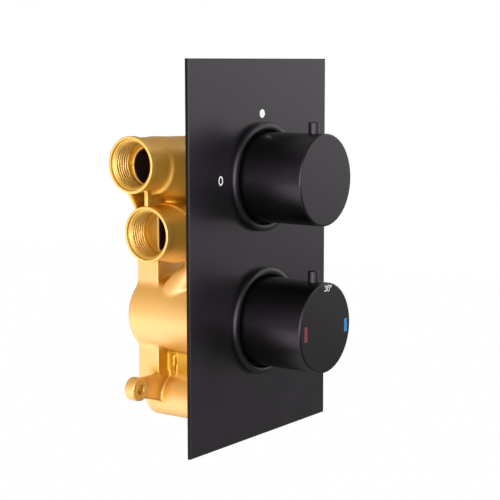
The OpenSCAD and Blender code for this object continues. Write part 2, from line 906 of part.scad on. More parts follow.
// Pin's head with a bevelled top, from radius inner outwards
module pin_head(r, inner) {
    top = knob_r + pin_stand;
    radial(r, inner, top - pin_chamfer, pin_z);
    translate([0, top - pin_chamfer, pin_z]) rotate([-90, 0, 0])
        cylinder(r1 = r, r2 = r - pin_chamfer, h = pin_chamfer);
}

// Fixed lever pin, whose screwed shank bears on the adaptor
module flow_pin() {
    color("#1d1d20") at_flow() {
        pin_head(pin_r, knob_r - pin_sink);
        radial(shank_r, adaptor_r + fit, knob_r, pin_z);
    }
}

// Socket screw under the knob, with a hexagon socket in its outer end
module grub_screw() {
    mirror([0, 1, 0]) difference() {
        radial(grub_r, adaptor_r + fit, hub_r - grub_short, grub_z);
        translate([0, hub_r - grub_short - socket_t, grub_z]) rotate([-90, 0, 0])
            cylinder(r = socket_r, h = socket_t + over, $fn = 6);
    }
}

module flow_grub_screw() {
    color("silver") at_flow() grub_screw();
}

module temperature_grub_screw() {
    color("silver") at_mix() grub_screw();
}

// Insert with a splined bore that joins a knob to its spindle
module adaptor() {
    difference() {
        flatted(adaptor_r, adaptor_flat, adaptor_back, adaptor_front);
        spline(spline_tip_r + groove_play, spline_root_r + groove_play,
            adaptor_back - over, stem_end + adaptor_play);
    }
}

module flow_adaptor() {
    color("white") at_flow() adaptor();
}

module temperature_adaptor() {
    color("white") at_mix() adaptor();
}

// Stem with its spline and circlip groove, from level back up
module stem(back, clip_back) {
    difference() {
        rod(stem_r, back, stem_end - spline_len);
        difference() {
            rod(stem_r + over, clip_back - lap, clip_back + clip_t + lap);
            rod(groove_r, clip_back - over, clip_back + clip_t + over);
        }
    }
    spline(spline_tip_r, spline_root_r, stem_end - spline_len - over, stem_end);
}

// Groove for a seal of wire radius ring_wire / 2 round a shaft
module seal_groove(shaft_r, level) {
    half = ring_wire / 2 + groove_play;
    difference() {
        rod(shaft_r + over, level - half, level + half);
        rod(shaft_r - ring_wire, level - half - over, level + half + over);
    }
}

// Rubber ring in such a groove
module shaft_seal(bore_r, level) {
    torus(bore_r - ring_squeeze - ring_wire / 2, ring_wire / 2, level);
}

// Spring clip with its gap downwards
module circlip(level) {
    difference() {
        tube(clip_r, clip_in_r, level, level + clip_t);
        translate([-clip_gap / 2, -clip_r - over, level - over])
            cube([clip_gap, clip_r + over, clip_t + 2 * over]);
    }
}

// Spindle whose bar-shaped driver turns the moving disc
module flow_spindle() {
    color("#d8b45a") at_flow() difference() {
        union() {
            intersection() {
                rod(moving_r, moving_front, driver_front);
                translate([-driver_w / 2, -moving_r, moving_front])
                    cube([driver_w, 2 * moving_r, driver_t]);
            }
            rod(moving_r, driver_front - driver_flange_t, driver_front);
            stem(driver_front - over, flow_clip_back);
        }
        for (level = flow_seal_levels) seal_groove(stem_r, level);
    }
}

module flow_spindle_seals() {
    color("#202020") at_flow() for (level = flow_seal_levels) shaft_seal(stem_bore_r, level);
}

module flow_circlip() {
    color("silver") at_flow() circlip(flow_clip_back);
}

// Screwed housing of the flow cartridge, with two side windows
module flow_housing() {
    color("#d8b45a") at_flow() difference() {
        union() {
            rod(flow_tube_r, flow_end, flow_thread_back + over);
            rod(flow_thread_r - fit, flow_thread_back, neck_front);
            rod(flow_hex_flats / 2 / cos(30), neck_front, flow_neck_back, $fn = 6);
            rod(flow_neck_r, flow_neck_back - over, flow_neck_front);
        }
        rod(flow_room_r, flow_end - over, room_front);
        rod(stem_bore_r, room_front - over, flow_neck_front + over);
        translate([-flow_tube_r - over, -flow_window_w / 2, moving_front])
            cube([2 * flow_tube_r + 2 * over, flow_window_w, driver_t - driver_flange_t]);
        difference() {
            rod(flow_tube_r + over, flow_seal_level - flow_seal_wire / 2 - groove_play,
                flow_seal_level + flow_seal_wire / 2 + groove_play);
            rod(flow_groove_r, flow_seal_level - flow_seal_wire,
                flow_seal_level + flow_seal_wire);
        }
    }
}

module flow_housing_seal() {
    color("#202020") at_flow() torus(flow_seal_r, flow_seal_wire / 2, flow_seal_level);
}

module thrust_washer() {
    color("white") at_flow() tube(moving_r, stem_r + groove_play, washer_back, washer_front);
}

// Ceramic disc with two facing windows
module ceramic_disc(r, back, front) {
    difference() {
        rod(r, back, front);
        for (turn = [0, 180]) rotate([0, 0, turn]) intersection() {
            tube(r * window_share, disc_in_r, back - over, front + over);
            wedge(r, window_half, back - 2 * over, front + 2 * over);
        }
    }
}

module moving_disc() {
    color("#f2efe8") at_flow() ceramic_disc(moving_r, moving_back, moving_front);
}

module fixed_disc() {
    color("#f2efe8") at_flow() ceramic_disc(fixed_r, fixed_back, fixed_front);
}

module flow_base_seal() {
    color("#202020") at_flow() tube(fixed_r, base_seal_in_r, flow_seat, fixed_back);
}

// Spindle of the temperature control, a cup that the pusher screws up and down in
module temperature_spindle() {
    color("#d8b45a") at_mix() difference() {
        union() {
            rod(cup_r, cup_back, cup_front);
            stem(cup_front - over, mix_clip_back);
        }
        rod(cup_bore_r, cup_back - over, cup_roof);
        seal_groove(stem_r, mix_stem_seal);
    }
}

module temperature_spindle_seal() {
    color("#202020") at_mix() shaft_seal(stem_bore_r, mix_stem_seal);
}

module temperature_circlip() {
    color("silver") at_mix() circlip(mix_clip_back);
}

// Safety button with the tab that reaches back to the stop ring
module safety_button() {
    color("#1d1d20") at_mix() {
        pin_head(pin_r, button_flange_low);
        radial(button_flange_r, button_flange_low, button_flange_top, pin_z);
        radial(spigot_r, button_flange_low - spigot_len, button_flange_top, pin_z);
        translate([-tab_w / 2, tab_low, tab_back]) cube([tab_w, tab_t, tab_front - tab_back]);
    }
}

module button_spring() {
    color("silver") at_mix() translate([0, 0, pin_z]) rotate([-90, 0, 0])
        coil(button_coil_r, button_wire_r, hub_r + spring_play,
            button_flange_low - spring_play, button_turns);
}

// Stop ring on the housing's neck, whose lug marks 38 degrees on the hotter side of the tab
module stop_ring() {
    color("#e8e8e8") at_mix() {
        tube(stop_r, stop_in_r, stop_back, stop_front);
        intersection() {
            tube(stop_r, stop_r - lug_rad_t, stop_front - over, tab_back - clear);
            translate([-tab_w / 2 - clear - lug_w, 0, stop_front - over])
                cube([lug_w, stop_r + over, tab_back - clear - stop_front + over]);
        }
    }
}

// Ring nut with spanner slots that holds the temperature cartridge
module thermostat_nut() {
    color("#d8b45a") at_mix() difference() {
        tube(mix_thread_r - fit, mix_neck_r + fit, mix_nut_back, mix_nut_front);
        for (turn = [0, 90]) rotate([0, 0, turn])
            translate([-mix_thread_r - over, -nut_slot_w / 2, mix_nut_front - nut_slot_t])
                cube([2 * mix_thread_r + 2 * over, nut_slot_w, nut_slot_t + over]);
    }
}

// Ring-shaped cut round the outside of the temperature cartridge
module recess(r, back, front) {
    difference() {
        rod(mix_bore_r + over, back, front);
        rod(r, back - over, front + over);
    }
}

// Row of windows through the cartridge's wall
module windows(back, front) {
    for (i = [0 : window_count - 1]) rotate([0, 0, 360 * i / window_count])
        translate([shuttle_bore_r - over, -window_w / 2, back])
            cube([mix_bore_r - shuttle_bore_r + 2 * over, window_w, front - back]);
}

module thermostat_housing() {
    color("#dcd8cc") at_mix() difference() {
        union() {
            rod(land_r, mix_end, mix_ledge);
            rod(mix_thread_r - 2 * fit, mix_ledge, mix_nut_back);
            rod(mix_neck_r, mix_nut_back - over, mix_neck_front);
        }
        rod(shuttle_bore_r, mix_end - over, cold_seat);
        rod(cup_r + fit, cold_seat - over, cup_front + lap);
        rod(stem_bore_r, cup_front - over, mix_neck_front + over);
        recess(recess_r, cold_recess_back, cold_recess_front);
        recess(recess_r, hot_recess_back, hot_recess_front);
        windows(cold_seat - cold_window_len, cold_seat - window_inset);
        windows(hot_seat_front + window_inset, hot_seat_front + hot_window_len);
        for (level = mix_seal_levels)
            recess(mix_groove_r, level - mix_groove_half, level + mix_groove_half);
    }
}

module thermostat_seals() {
    color("#202020") at_mix() for (level = mix_seal_levels)
        torus(mix_bore_r - ring_squeeze - mix_seal_wire / 2, mix_seal_wire / 2, level);
}

// Slotted band round a recess that keeps grit out
module strainer(back, front) {
    difference() {
        tube(strainer_r, recess_r + fit, back + fit, front - fit);
        for (i = [0 : strainer_slots - 1]) rotate([0, 0, 360 * i / strainer_slots])
            translate([recess_r - over, -strainer_slot_w / 2, back + strainer_rim])
                cube([strainer_r - recess_r + 2 * over, strainer_slot_w, front - back - 2 * strainer_rim]);
    }
}

module cold_strainer() {
    color("silver") at_mix() strainer(cold_recess_back, cold_recess_front);
}

module hot_strainer() {
    color("silver") at_mix() strainer(hot_recess_back, hot_recess_front);
}

module hot_seat() {
    hot_seat_back = hot_seat_front - hot_seat_t;
    color("#d8b45a") at_mix() tube(shuttle_bore_r - fit, hot_seat_in_r, hot_seat_back, hot_seat_front);
}

module spring_retainer() {
    color("#d8b45a") at_mix() tube(shuttle_bore_r - fit, retainer_in_r, mix_end, retainer_front);
}

// Cup inside the spindle, screwed along by it, that holds the overload spring
module pusher() {
    color("#d8b45a") at_mix() difference() {
        rod(pusher_r, pusher_back, pusher_front);
        rod(pusher_bore_r, pusher_back - over, pusher_roof);
    }
}

module overload_spring() {
    color("silver") at_mix()
        coil(overload_coil_r, overload_wire_r, overload_seat_front + fit,
            pusher_roof - fit, overload_turns);
}

module overload_seat() {
    color("silver") at_mix() rod(pusher_bore_r - groove_play, overload_seat_back, overload_seat_front);
}

// Wax cup with its flange, its guide and the piston that comes out of it
module wax_element() {
    color("#b8734a") at_mix() {
        rod(piston_r, guide_front - over, overload_seat_back);
        rod(wax_guide_r, shuttle_hub_back - over, guide_front);
        rod(wax_flange_r, shuttle_hub_back - wax_flange_t, shuttle_hub_back);
        round_back(wax_r, wax_end, shuttle_hub_back - wax_flange_t + over, wax_r * wax_round_share);
    }
}

// Sliding valve that closes the hot seat at its back and the cold seat at its front
module shuttle() {
    color("#d8b45a") at_mix() difference() {
        union() {
            tube(shuttle_r, shuttle_in_r, shuttle_back, shuttle_front);
            rod(shuttle_in_r + over, shuttle_hub_back, shuttle_hub_front);
        }
        rod(hub_hole_r, shuttle_hub_back - over, shuttle_hub_front + over);
        for (i = [0 : hub_ports - 1]) rotate([0, 0, 360 * i / hub_ports])
            translate([hub_port_at, 0, 0])
                rod(hub_port_r, shuttle_hub_back - over, shuttle_hub_front + over);
        seal_groove(shuttle_r, shuttle_seal_level);
    }
}

module shuttle_seal() {
    color("#202020") at_mix() shaft_seal(shuttle_bore_r, shuttle_seal_level);
}

module return_spring() {
    color("silver") at_mix()
        coil(return_coil_r, return_wire_r, retainer_front + fit, shuttle_hub_back - fit, return_turns);
}

faceplate();
upper_collar();
lower_collar();
upper_collar_nut();
lower_collar_nut();
upper_collar_seal();
lower_collar_seal();
upper_sleeve();
lower_sleeve();
valve_body();
flow_knob();
flow_pin();
flow_grub_screw();
flow_adaptor();
flow_spindle();
flow_spindle_seals();
flow_circlip();
flow_housing();
flow_housing_seal();
thrust_washer();
moving_disc();
fixed_disc();
flow_base_seal();
temperature_knob();
temperature_grub_screw();
temperature_adaptor();
temperature_spindle();
temperature_spindle_seal();
temperature_circlip();
safety_button();
button_spring();
stop_ring();
thermostat_nut();
thermostat_housing();
thermostat_seals();
cold_strainer();
hot_strainer();
hot_seat();
spring_retainer();
pusher();
overload_spring();
overload_seat();
wax_element();
shuttle();
shuttle_seal();
return_spring();
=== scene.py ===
"""Looks of a thermostatic shower valve for building into a wall.

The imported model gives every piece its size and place. This script dresses it: a smoothly cast
brass body with turned and threaded ports, satin black outside pieces with printed marks, and a
finish for each piece of the two cartridges.
"""

from __future__ import annotations

import json
import logging
import math
from dataclasses import dataclass
from enum import Enum
from itertools import chain
from typing import Callable, Iterator, Sequence

import bpy
import numpy as np
from mathutils import Matrix, Vector

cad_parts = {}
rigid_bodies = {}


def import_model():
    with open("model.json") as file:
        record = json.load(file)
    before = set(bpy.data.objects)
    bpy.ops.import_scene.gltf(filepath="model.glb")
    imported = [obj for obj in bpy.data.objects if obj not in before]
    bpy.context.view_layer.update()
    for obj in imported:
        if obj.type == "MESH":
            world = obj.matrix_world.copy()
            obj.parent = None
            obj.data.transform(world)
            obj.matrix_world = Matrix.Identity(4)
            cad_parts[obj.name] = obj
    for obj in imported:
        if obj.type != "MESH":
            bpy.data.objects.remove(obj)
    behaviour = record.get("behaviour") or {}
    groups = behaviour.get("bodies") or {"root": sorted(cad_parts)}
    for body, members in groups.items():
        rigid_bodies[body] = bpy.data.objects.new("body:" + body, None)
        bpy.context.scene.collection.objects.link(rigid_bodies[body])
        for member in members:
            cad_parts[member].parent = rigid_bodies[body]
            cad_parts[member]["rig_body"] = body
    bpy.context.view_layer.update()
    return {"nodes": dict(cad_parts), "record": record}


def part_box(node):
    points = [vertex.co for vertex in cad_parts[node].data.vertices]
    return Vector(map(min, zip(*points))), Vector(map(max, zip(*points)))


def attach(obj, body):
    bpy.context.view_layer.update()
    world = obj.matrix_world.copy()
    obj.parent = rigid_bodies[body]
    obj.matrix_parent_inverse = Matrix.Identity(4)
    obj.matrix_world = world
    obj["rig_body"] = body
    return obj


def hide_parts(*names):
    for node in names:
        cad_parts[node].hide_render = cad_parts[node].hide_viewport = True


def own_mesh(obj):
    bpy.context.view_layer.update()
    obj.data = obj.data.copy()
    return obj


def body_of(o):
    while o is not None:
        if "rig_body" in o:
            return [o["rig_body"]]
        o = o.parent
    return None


MM = 0.001
# Name of the point attribute that holds each piece's share of painted shade.
PAINTED_SHADE = "shelter"
LOG = logging.getLogger("shower_valve")
Array = np.ndarray
Places = Sequence[Array]
Field = Callable[[Places], Array]
Forms = Iterator[tuple[Array, float]]
Pair = tuple[float, float]
Triple = tuple[float, float, float]
Quad = tuple[float, float, float, float]


class Side(Enum):
    """Way that a turned piece runs along x from its origin."""

    LEFT = -1
    RIGHT = 1


# Surfaces


def grid_quads(rows: int, cols: int, wrap_rows: bool, wrap_cols: bool) -> Array:
    """Quads that join the points of a grid.

    Args:
        rows: Number of rows of points.
        cols: Number of points in a row.
        wrap_rows: Whether the last row joins the first.
        wrap_cols: Whether the last point of a row joins its first.

    Returns:
        One row of four point numbers for each quad.
    """
    i, j = np.meshgrid(np.arange(rows - (not wrap_rows)), np.arange(cols - (not wrap_cols)),
                       indexing="ij")
    down, right = (i + 1) % rows, (j + 1) % cols
    corners = [i * cols + j, i * cols + right, down * cols + right, down * cols + j]
    return np.stack(corners, axis=-1).reshape(-1, 4)


def outward(points: Array, quads: Array) -> Array:
    """Turns the quads of a closed surface so that they face outwards.

    Formula: the volume is a sixth of the sum over the triangles of their corners' triple
    product, and a negative volume means that every face looks inwards.

    Args:
        points: Points of the surface.
        quads: Point numbers of each quad, all wound the same way.

    Returns:
        The quads, turned round where they faced inwards.
    """
    a, b, c, d = (points[quads[:, k]] for k in range(4))
    volume = np.einsum("ij,ij->", a, np.cross(b, c)) + np.einsum("ij,ij->", a, np.cross(c, d))
    return quads if volume > 0 else quads[:, ::-1]


def make_piece(name: str, points: Array, quads: Array, crease: float = 32.0) -> bpy.types.Object:
    """Makes a mesh object of quads, smooth but for its creases.

    Args:
        name: Name of the piece.
        points: Points in metres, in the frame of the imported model.
        quads: Point numbers of each quad; a quad may repeat a point at a pole.
        crease: Angle in degrees past which an edge stays sharp.

    Returns:
        The new object, at the origin.
    """
    mesh = bpy.data.meshes.new(name)
    mesh.vertices.add(len(points))
    mesh.vertices.foreach_set("co", np.ascontiguousarray(points, np.float32).ravel())
    mesh.loops.add(quads.size)
    mesh.loops.foreach_set("vertex_index", np.ascontiguousarray(quads, np.int32).ravel())
    mesh.polygons.add(len(quads))
    mesh.polygons.foreach_set("loop_start", np.arange(0, quads.size, 4, dtype=np.int32))
    mesh.update(calc_edges=True)
    mesh.validate()
    mesh.polygons.foreach_set("use_smooth", np.ones(len(mesh.polygons), bool))
    mesh.set_sharp_from_angle(angle=math.radians(crease))
    piece = bpy.data.objects.new(name, mesh)
    bpy.context.scene.collection.objects.link(piece)
    return piece


def store_painted_shade(piece: bpy.types.Object, values: Array) -> None:
    """Keeps on a piece how far each of its points lies in a hollow, as painted shade for the brass."""
    painted_shade_share = piece.data.attributes.new(PAINTED_SHADE, "FLOAT", "POINT")
    painted_shade_share.data.foreach_set("value", np.ascontiguousarray(values, np.float32).ravel())


def rounded(corners: Sequence[Sequence[float]], steps: int = 5) -> Array:
    """Closed outline with rounded corners.

    Formula: each corner with a rounding becomes a quadratic curve from the point that lies the
    rounding before it, bent towards the corner, to the point that lies the rounding after it.

    Args:
        corners: Pairs of coordinates with the rounding as a third number.
        steps: Pieces in each rounded corner.

    Returns:
        Points of the outline as (n, 2).
    """
    c = np.asarray(corners, float)
    here, size = c[:, :2], c[:, 2:3]
    before, after = np.roll(here, 1, axis=0) - here, np.roll(here, -1, axis=0) - here
    start = here + before * size / np.linalg.norm(before, axis=1, keepdims=True)
    end = here + after * size / np.linalg.norm(after, axis=1, keepdims=True)
    t = np.linspace(0, 1, steps + 1)[None, :, None]
    curve = (1 - t) ** 2 * start[:, None] + 2 * t * (1 - t) * here[:, None] + t**2 * end[:, None]
    keep = np.ones(curve.shape[:2], bool)
    keep[c[:, 2] == 0, 1:] = False
    return curve[keep]


def stroke(path: Array, width: float, closed: bool) -> tuple[Array, Array]:
    """Outline of a flat line with round ends, or of a closed loop.

    Formula: each point of the path moves half the width to either side, along the path's
    normal. Within half a width of an open end that distance shrinks as a semicircle does.

    Args:
        path: Points of the middle line as (n, 2), close together.
        width: Width of the line.
        closed: Whether the last point joins the first.

    Returns:
        The left and the right edge, each as (n, 2).
    """
    if closed:
        run = np.roll(path, -1, axis=0) - np.roll(path, 1, axis=0)
        half = np.full(len(path), width / 2)
    else:
        run = np.gradient(path, axis=0)
        step = np.linalg.norm(np.diff(path, axis=0), axis=1)
        gone = np.concatenate([[0], np.cumsum(step)])
        near = np.clip(np.minimum(gone, gone[-1] - gone) / (width / 2), 0, 1)
        half = width / 2 * np.sqrt(np.clip(1 - (1 - near) ** 2, 0.0004, 1))
    run = run / np.linalg.norm(run, axis=1, keepdims=True)
    side = np.stack([-run[:, 1], run[:, 0]], axis=1) * half[:, None]
    return path + side, path - side


# Solid fields
# A field is negative inside a form, zero on its surface and about the distance outside it.
# Coordinates are in millimetres: x to the right, y up and z out of the wall.


def blend(a: Array, b: Array, reach: float) -> Array:
    """Union of two fields with a fillet.

    Formula: the smaller of the two, less a quarter of the reach times the square of how far
    they are closer to each other than the reach.

    Args:
        a: One field.
        b: The other field.
        reach: Difference of the two fields at which the fillet ends.

    Returns:
        The field of both forms together.
    """
    near = np.clip(1 - np.abs(a - b) / reach, 0, 1)
    return np.minimum(a, b) - near * near * reach / 4


def cut(a: Array, b: Array, reach: float) -> Array:
    """Field a less field b, with a small fillet along the cut's edge."""
    return -blend(-a, b, reach)


def rod(u: Array, v: Array, w: Array, radius: float, low: float, high: float,
        edge: float = 0.4) -> Array:
    """Round bar along w, centred on u and v, with rounded ends.

    Formula: the distance from the bar's half section, shrunk by the edge's radius, less that
    radius.

    Args:
        u: Distance across, from the axis.
        v: The other distance across.
        w: Place along the bar.
        radius: Its radius.
        low: Its start.
        high: Its end.
        edge: Radius of its edges.

    Returns:
        The bar's field.
    """
    out = np.hypot(u, v) - (radius - edge)
    end = np.abs(w - (low + high) / 2) - ((high - low) / 2 - edge)
    beyond = np.hypot(np.maximum(out, 0), np.maximum(end, 0))
    return beyond + np.minimum(np.maximum(out, end), 0) - edge


def block(p: Places, low: Sequence[float], high: Sequence[float], edge: float) -> Array:
    """Rectangular block with rounded edges.

    Formula: the distance from the block shrunk by the edge's radius, less that radius.

    Args:
        p: x, y and z.
        low: Lowest corner.
        high: Highest corner.
        edge: Radius of its rounded edges.

    Returns:
        The block's field.
    """
    spans = [np.abs(v - (a + b) / 2) - ((b - a) / 2 - edge) for v, a, b in zip(p, low, high)]
    beyond = np.sqrt(sum(np.maximum(s, 0) ** 2 for s in spans))
    return beyond + np.minimum(np.maximum(np.maximum(*spans[:2]), spans[2]), 0) - edge


def bar(p: Places, start: Sequence[float], end: Sequence[float], first: float,
        last: float) -> Array:
    """Round bar with ball ends between two points, whose radius changes evenly.

    Formula: the distance from the nearest place on the middle line, less the radius there.

    Args:
        p: x, y and z.
        start: First point of the middle line.
        end: Last point of the middle line.
        first: Radius at the start.
        last: Radius at the end.

    Returns:
        The bar's field.
    """
    a, run = np.asarray(start, float), np.asarray(end, float) - np.asarray(start, float)
    t = np.clip(sum((p[k] - a[k]) * run[k] for k in range(3)) / (run @ run), 0, 1)
    gap = [p[k] - (a[k] + t * run[k]) for k in range(3)]
    return np.sqrt(sum(g**2 for g in gap)) - (first + t * (last - first))


def plate(u: Array, v: Array, w: Array, corners: Sequence[Sequence[float]], low: float,
          high: float, edge: float) -> Array:
    """Flat web with a convex outline given anticlockwise, from low to high along w.

    Formula: the largest of the distances past each side and past each face, with the edges
    rounded where two of them are within the edge's reach.

    Args:
        u: Place along the web.
        v: The other place along it.
        w: Place across the web.
        corners: Corners of the outline as pairs of u and v.
        low: Its first face.
        high: Its second face.
        edge: Reach of its rounded edges.

    Returns:
        The web's field.
    """
    c = np.asarray(corners, float)
    run = np.roll(c, -1, axis=0) - c
    run /= np.linalg.norm(run, axis=1, keepdims=True)
    past = (u - c[0, 0]) * run[0, 1] - (v - c[0, 1]) * run[0, 0]
    for k in range(1, len(c)):
        side = (u - c[k, 0]) * run[k, 1] - (v - c[k, 1]) * run[k, 0]
        past = -blend(-past, -side, edge)
    return -blend(-past, -(np.abs(w - (low + high) / 2) - (high - low) / 2), edge)


def slope(field: Field, points: Array, step: float = 0.02) -> Array:
    """Gradient of a field at points, from its values a small step either side.

    Args:
        field: The field.
        points: Points as (n, 3).
        step: The step, in millimetres.

    Returns:
        The gradient at each point, as (n, 3).
    """
    out = np.empty_like(points)
    for k in range(3):
        move = np.zeros(3)
        move[k] = step
        ahead, behind = points + move, points - move
        out[:, k] = (field(ahead.T) - field(behind.T)) / (2 * step)
    return out


def crossings(values: Array) -> tuple[Array, Array]:
    """Places one point in every cell of a grid of values that the surface passes through.

    Formula: the point is the mean of the places where the cell's twelve edges change sign,
    each found by proportion between the edge's two values.

    Args:
        values: The field on the grid.

    Returns:
        The cells' grid numbers, and the points in grid steps.
    """
    inside = values < 0
    corners = [(a, b, c) for a in (0, 1) for b in (0, 1) for c in (0, 1)]
    count = sum(inside[a:a - 1 or None, b:b - 1 or None, c:c - 1 or None].astype(np.int8)
                for a, b, c in corners)
    cells = np.argwhere((count > 0) & (count < len(corners)))
    total, hits = np.zeros((len(cells), 3)), np.zeros(len(cells))
    for p in corners:
        for q in corners:
            if sum(q) == sum(p) + 1 and sum(abs(m - n) for m, n in zip(p, q)) == 1:
                first, last = (values[tuple((cells + np.array(s)).T)] for s in (p, q))
                hit = (first < 0) != (last < 0)
                t = np.where(hit, first / np.where(hit, first - last, 1), 0)
                spot = cells + np.array(p) + t[:, None] * (np.array(q) - np.array(p))
                total += spot * hit[:, None]
                hits += hit
    return cells, total / hits[:, None]


def skin(field: Field, low: Sequence[float], high: Sequence[float], pitch: float,
         rounds: int = 3) -> tuple[Array, Array]:
    """Closed surface of a field.

    Formula: every cell that the surface passes through has one point, and every grid edge that
    changes sign joins the points of the four cells round it with a quad. Each round then moves
    a point half way to the mean of its neighbours, and back to the surface by its value over
    its gradient's length.

    Args:
        field: The field, in millimetres.
        low: Lowest corner of the space searched.
        high: Highest corner.
        pitch: Size of a cell.
        rounds: How often the points are evened out.

    Returns:
        Points in millimetres and quads that face outwards.
    """
    axes = [np.arange(a, b + pitch, pitch, dtype=np.float32) for a, b in zip(low, high)]
    values = np.stack([field(np.meshgrid(axes[0][k:k + 1], axes[1], axes[2], indexing="ij"))[0]
                       for k in range(len(axes[0]))])
    cells, spots = crossings(values)
    number = np.full(values.shape, -1, np.int64)
    number[tuple(cells.T)] = np.arange(len(cells))
    inside = values < 0
    quads = []
    for k in range(3):
        here = [slice(1, -1)] * 3
        ahead = list(here)
        here[k], ahead[k] = slice(0, -1), slice(1, None)
        start, end = inside[tuple(here)], inside[tuple(ahead)]
        edge = np.argwhere(start != end)
        leaves = start[tuple(edge.T)]
        edge = edge + np.array([0 if m == k else 1 for m in range(3)])
        m, n = (k + 1) % 3, (k + 2) % 3
        shift = np.zeros((4, 3), int)
        shift[1, m] = shift[2, m] = shift[2, n] = shift[3, n] = -1
        quad = np.stack([number[tuple((edge + s).T)] for s in shift], axis=1)
        quads.append(np.where(leaves[:, None], quad, quad[:, ::-1]))
    quads = np.concatenate(quads)
    points = spots * pitch + np.asarray(low, float)
    pairs = np.concatenate([quads[:, [k, (k + 1) % 4]] for k in range(4)])
    count = np.bincount(pairs[:, 0], minlength=len(points))
    for _ in range(rounds):
        total = np.zeros_like(points)
        for k in range(3):
            total[:, k] = np.bincount(pairs[:, 0], points[pairs[:, 1], k], len(points))
        points = points / 2 + total / count[:, None] / 2
        for _ in range(2):
            grade = slope(field, points)
            length = np.maximum(np.einsum("ij,ij->i", grade, grade), 0.2)
            away = np.clip(field(points.T) / length, -pitch / 2, pitch / 2)
            points = points - grade * away[:, None]
    return points, quads


# Materials


def operator(operation: str, swapped: bool = False) -> Callable[[Wire, object], Wire]:
    """Makes the method that a Python operator calls on a wire.

    Args:
        operation: Blender's name for what the Math node does.
        swapped: Whether the other value comes first, as in a reflected operator.

    Returns:
        The method, which adds a Math node on the wire and the other value.
    """
    def method(wire: Wire, value: object) -> Wire:
        """Adds the Math node and gives its result as a wire."""
        first, second = (value, wire) if swapped else (wire, value)
        return wire.kit.node("ShaderNodeMath", {"operation": operation}, {0: first, 1: second})
    return method


class Wire:
    """A socket of a material's node tree that works in Python sums."""

    __add__, __radd__ = operator("ADD"), operator("ADD", True)
    __sub__, __rsub__ = operator("SUBTRACT"), operator("SUBTRACT", True)
    __mul__, __rmul__ = operator("MULTIPLY"), operator("MULTIPLY", True)
    __pow__ = operator("POWER")
    over = operator("MAXIMUM")

    def __init__(self, kit: Paint, socket: bpy.types.NodeSocket | None) -> None:
        """Keeps the node kit and the socket."""
        self.kit = kit
        self.socket = socket


class Paint:
    """A node tree that a finish fills in."""

    def __init__(self, tree: bpy.types.NodeTree) -> None:
        """Empties the tree and keeps it."""
        self.tree = tree
        tree.nodes.clear()

    def node(self, kind: str, settings: dict[str, object] | None = None,
             inputs: dict[object, object] | None = None, out: object = 0) -> Wire:
        """Adds a node.

        Args:
            kind: Blender's name for the node's type.
            settings: Values of the node itself, which are set first.
            inputs: Values or wires by the socket's name or number.
            out: Name or number of the socket that is returned.

        Returns:
            The output socket as a wire.
        """
        made = self.tree.nodes.new(kind)
        for key, value in (settings or {}).items():
            setattr(made, key, value)
        for key, value in (inputs or {}).items():
            if isinstance(value, Wire):
                self.tree.links.new(value.socket, made.inputs[key])
            else:
                made.inputs[key].default_value = value
        return Wire(self, made.outputs[out]) if made.outputs else Wire(self, None)

    def axes(self, kind: str = "Object") -> list[Wire]:
        """The three coordinates, which are the object's own unless another kind is named."""
        split = self.node("ShaderNodeSeparateXYZ", {}, {0: self.node("ShaderNodeTexCoord", out=kind)})
        return [Wire(self, output) for output in split.socket.node.outputs]

    def shelter(self) -> Wire:
        """Painted shade: how far the surface lies in a hollow, as the piece carries it."""
        return self.node("ShaderNodeAttribute", {"attribute_name": PAINTED_SHADE}, out="Fac")

    def noise(self, scale: float, detail: float = 3.0, rough: float = 0.55,
              drawn: Triple | None = None) -> Wire:
        """Cloudy noise from 0 to 1 on the object's coordinates.

        Args:
            scale: How many clouds there are to a metre.
            detail: Number of finer layers.
            rough: Weight of the finer layers.
            drawn: Factors of the coordinates that draw the clouds out, if they are drawn out.

        Returns:
            The noise.
        """
        spot = self.node("ShaderNodeTexCoord", out="Object")
        if drawn is not None:
            spot = self.node("ShaderNodeMapping", {}, {"Vector": spot, "Scale": drawn})
        return self.node("ShaderNodeTexNoise", {},
                         {"Vector": spot, "Scale": scale, "Detail": detail, "Roughness": rough})

    def span(self, value: Wire, low: float, high: float, to_low: float, to_high: float) -> Wire:
        """Value brought from one range to another and kept in it."""
        return self.node("ShaderNodeMapRange", {"clamp": True},
                         {"Value": value, "From Min": low, "From Max": high,
                          "To Min": to_low, "To Max": to_high})

    def mix(self, share: Wire, first: object, second: object) -> Wire:
        """Mix of two colours, from the first at a share of 0 to the second at 1."""
        ends = [c if isinstance(c, Wire) else (*c, 1) for c in (first, second)]
        return self.node("ShaderNodeMix", {"data_type": "RGBA"}, {0: share, 6: ends[0], 7: ends[1]}, 2)

    def bump(self, height: Wire, depth: float, strength: float = 1.0,
             under: Wire | None = None) -> Wire:
        """Normal of a rough surface.

        Args:
            height: Height of the surface, from 0 to 1.
            depth: Metres that the height's full range stands for.
            strength: Share of the effect.
            under: Another normal that this one lies on, if any.

        Returns:
            The normal.
        """
        inputs = {"Height": height, "Distance": depth, "Strength": strength}
        if under is not None:
            inputs["Normal"] = under
        return self.node("ShaderNodeBump", {}, inputs)

    def finish(self, sockets: dict[str, object]) -> None:
        """Adds the surface shader with values or wires for its sockets, and the output."""
        shader = self.node("ShaderNodeBsdfPrincipled", {}, sockets)
        self.node("ShaderNodeOutputMaterial", {}, {"Surface": shader})


@dataclass(frozen=True)
class Finish:
    """A finish, whose material is made once and kept under the finish's name."""

    name: str

    def fill(self, kit: Paint) -> None:
        """Adds the nodes; each kind of finish has its own."""
        raise NotImplementedError

    def dress(self, piece: bpy.types.Object) -> None:
        """Gives a piece this finish alone.

        Args:
            piece: The piece.
        """
        material = bpy.data.materials.get(self.name)
        if material is None:
            material = bpy.data.materials.new(self.name)
            material.use_nodes = True
            self.fill(Paint(material.node_tree))
        piece.data.materials.clear()
        piece.data.materials.append(material)


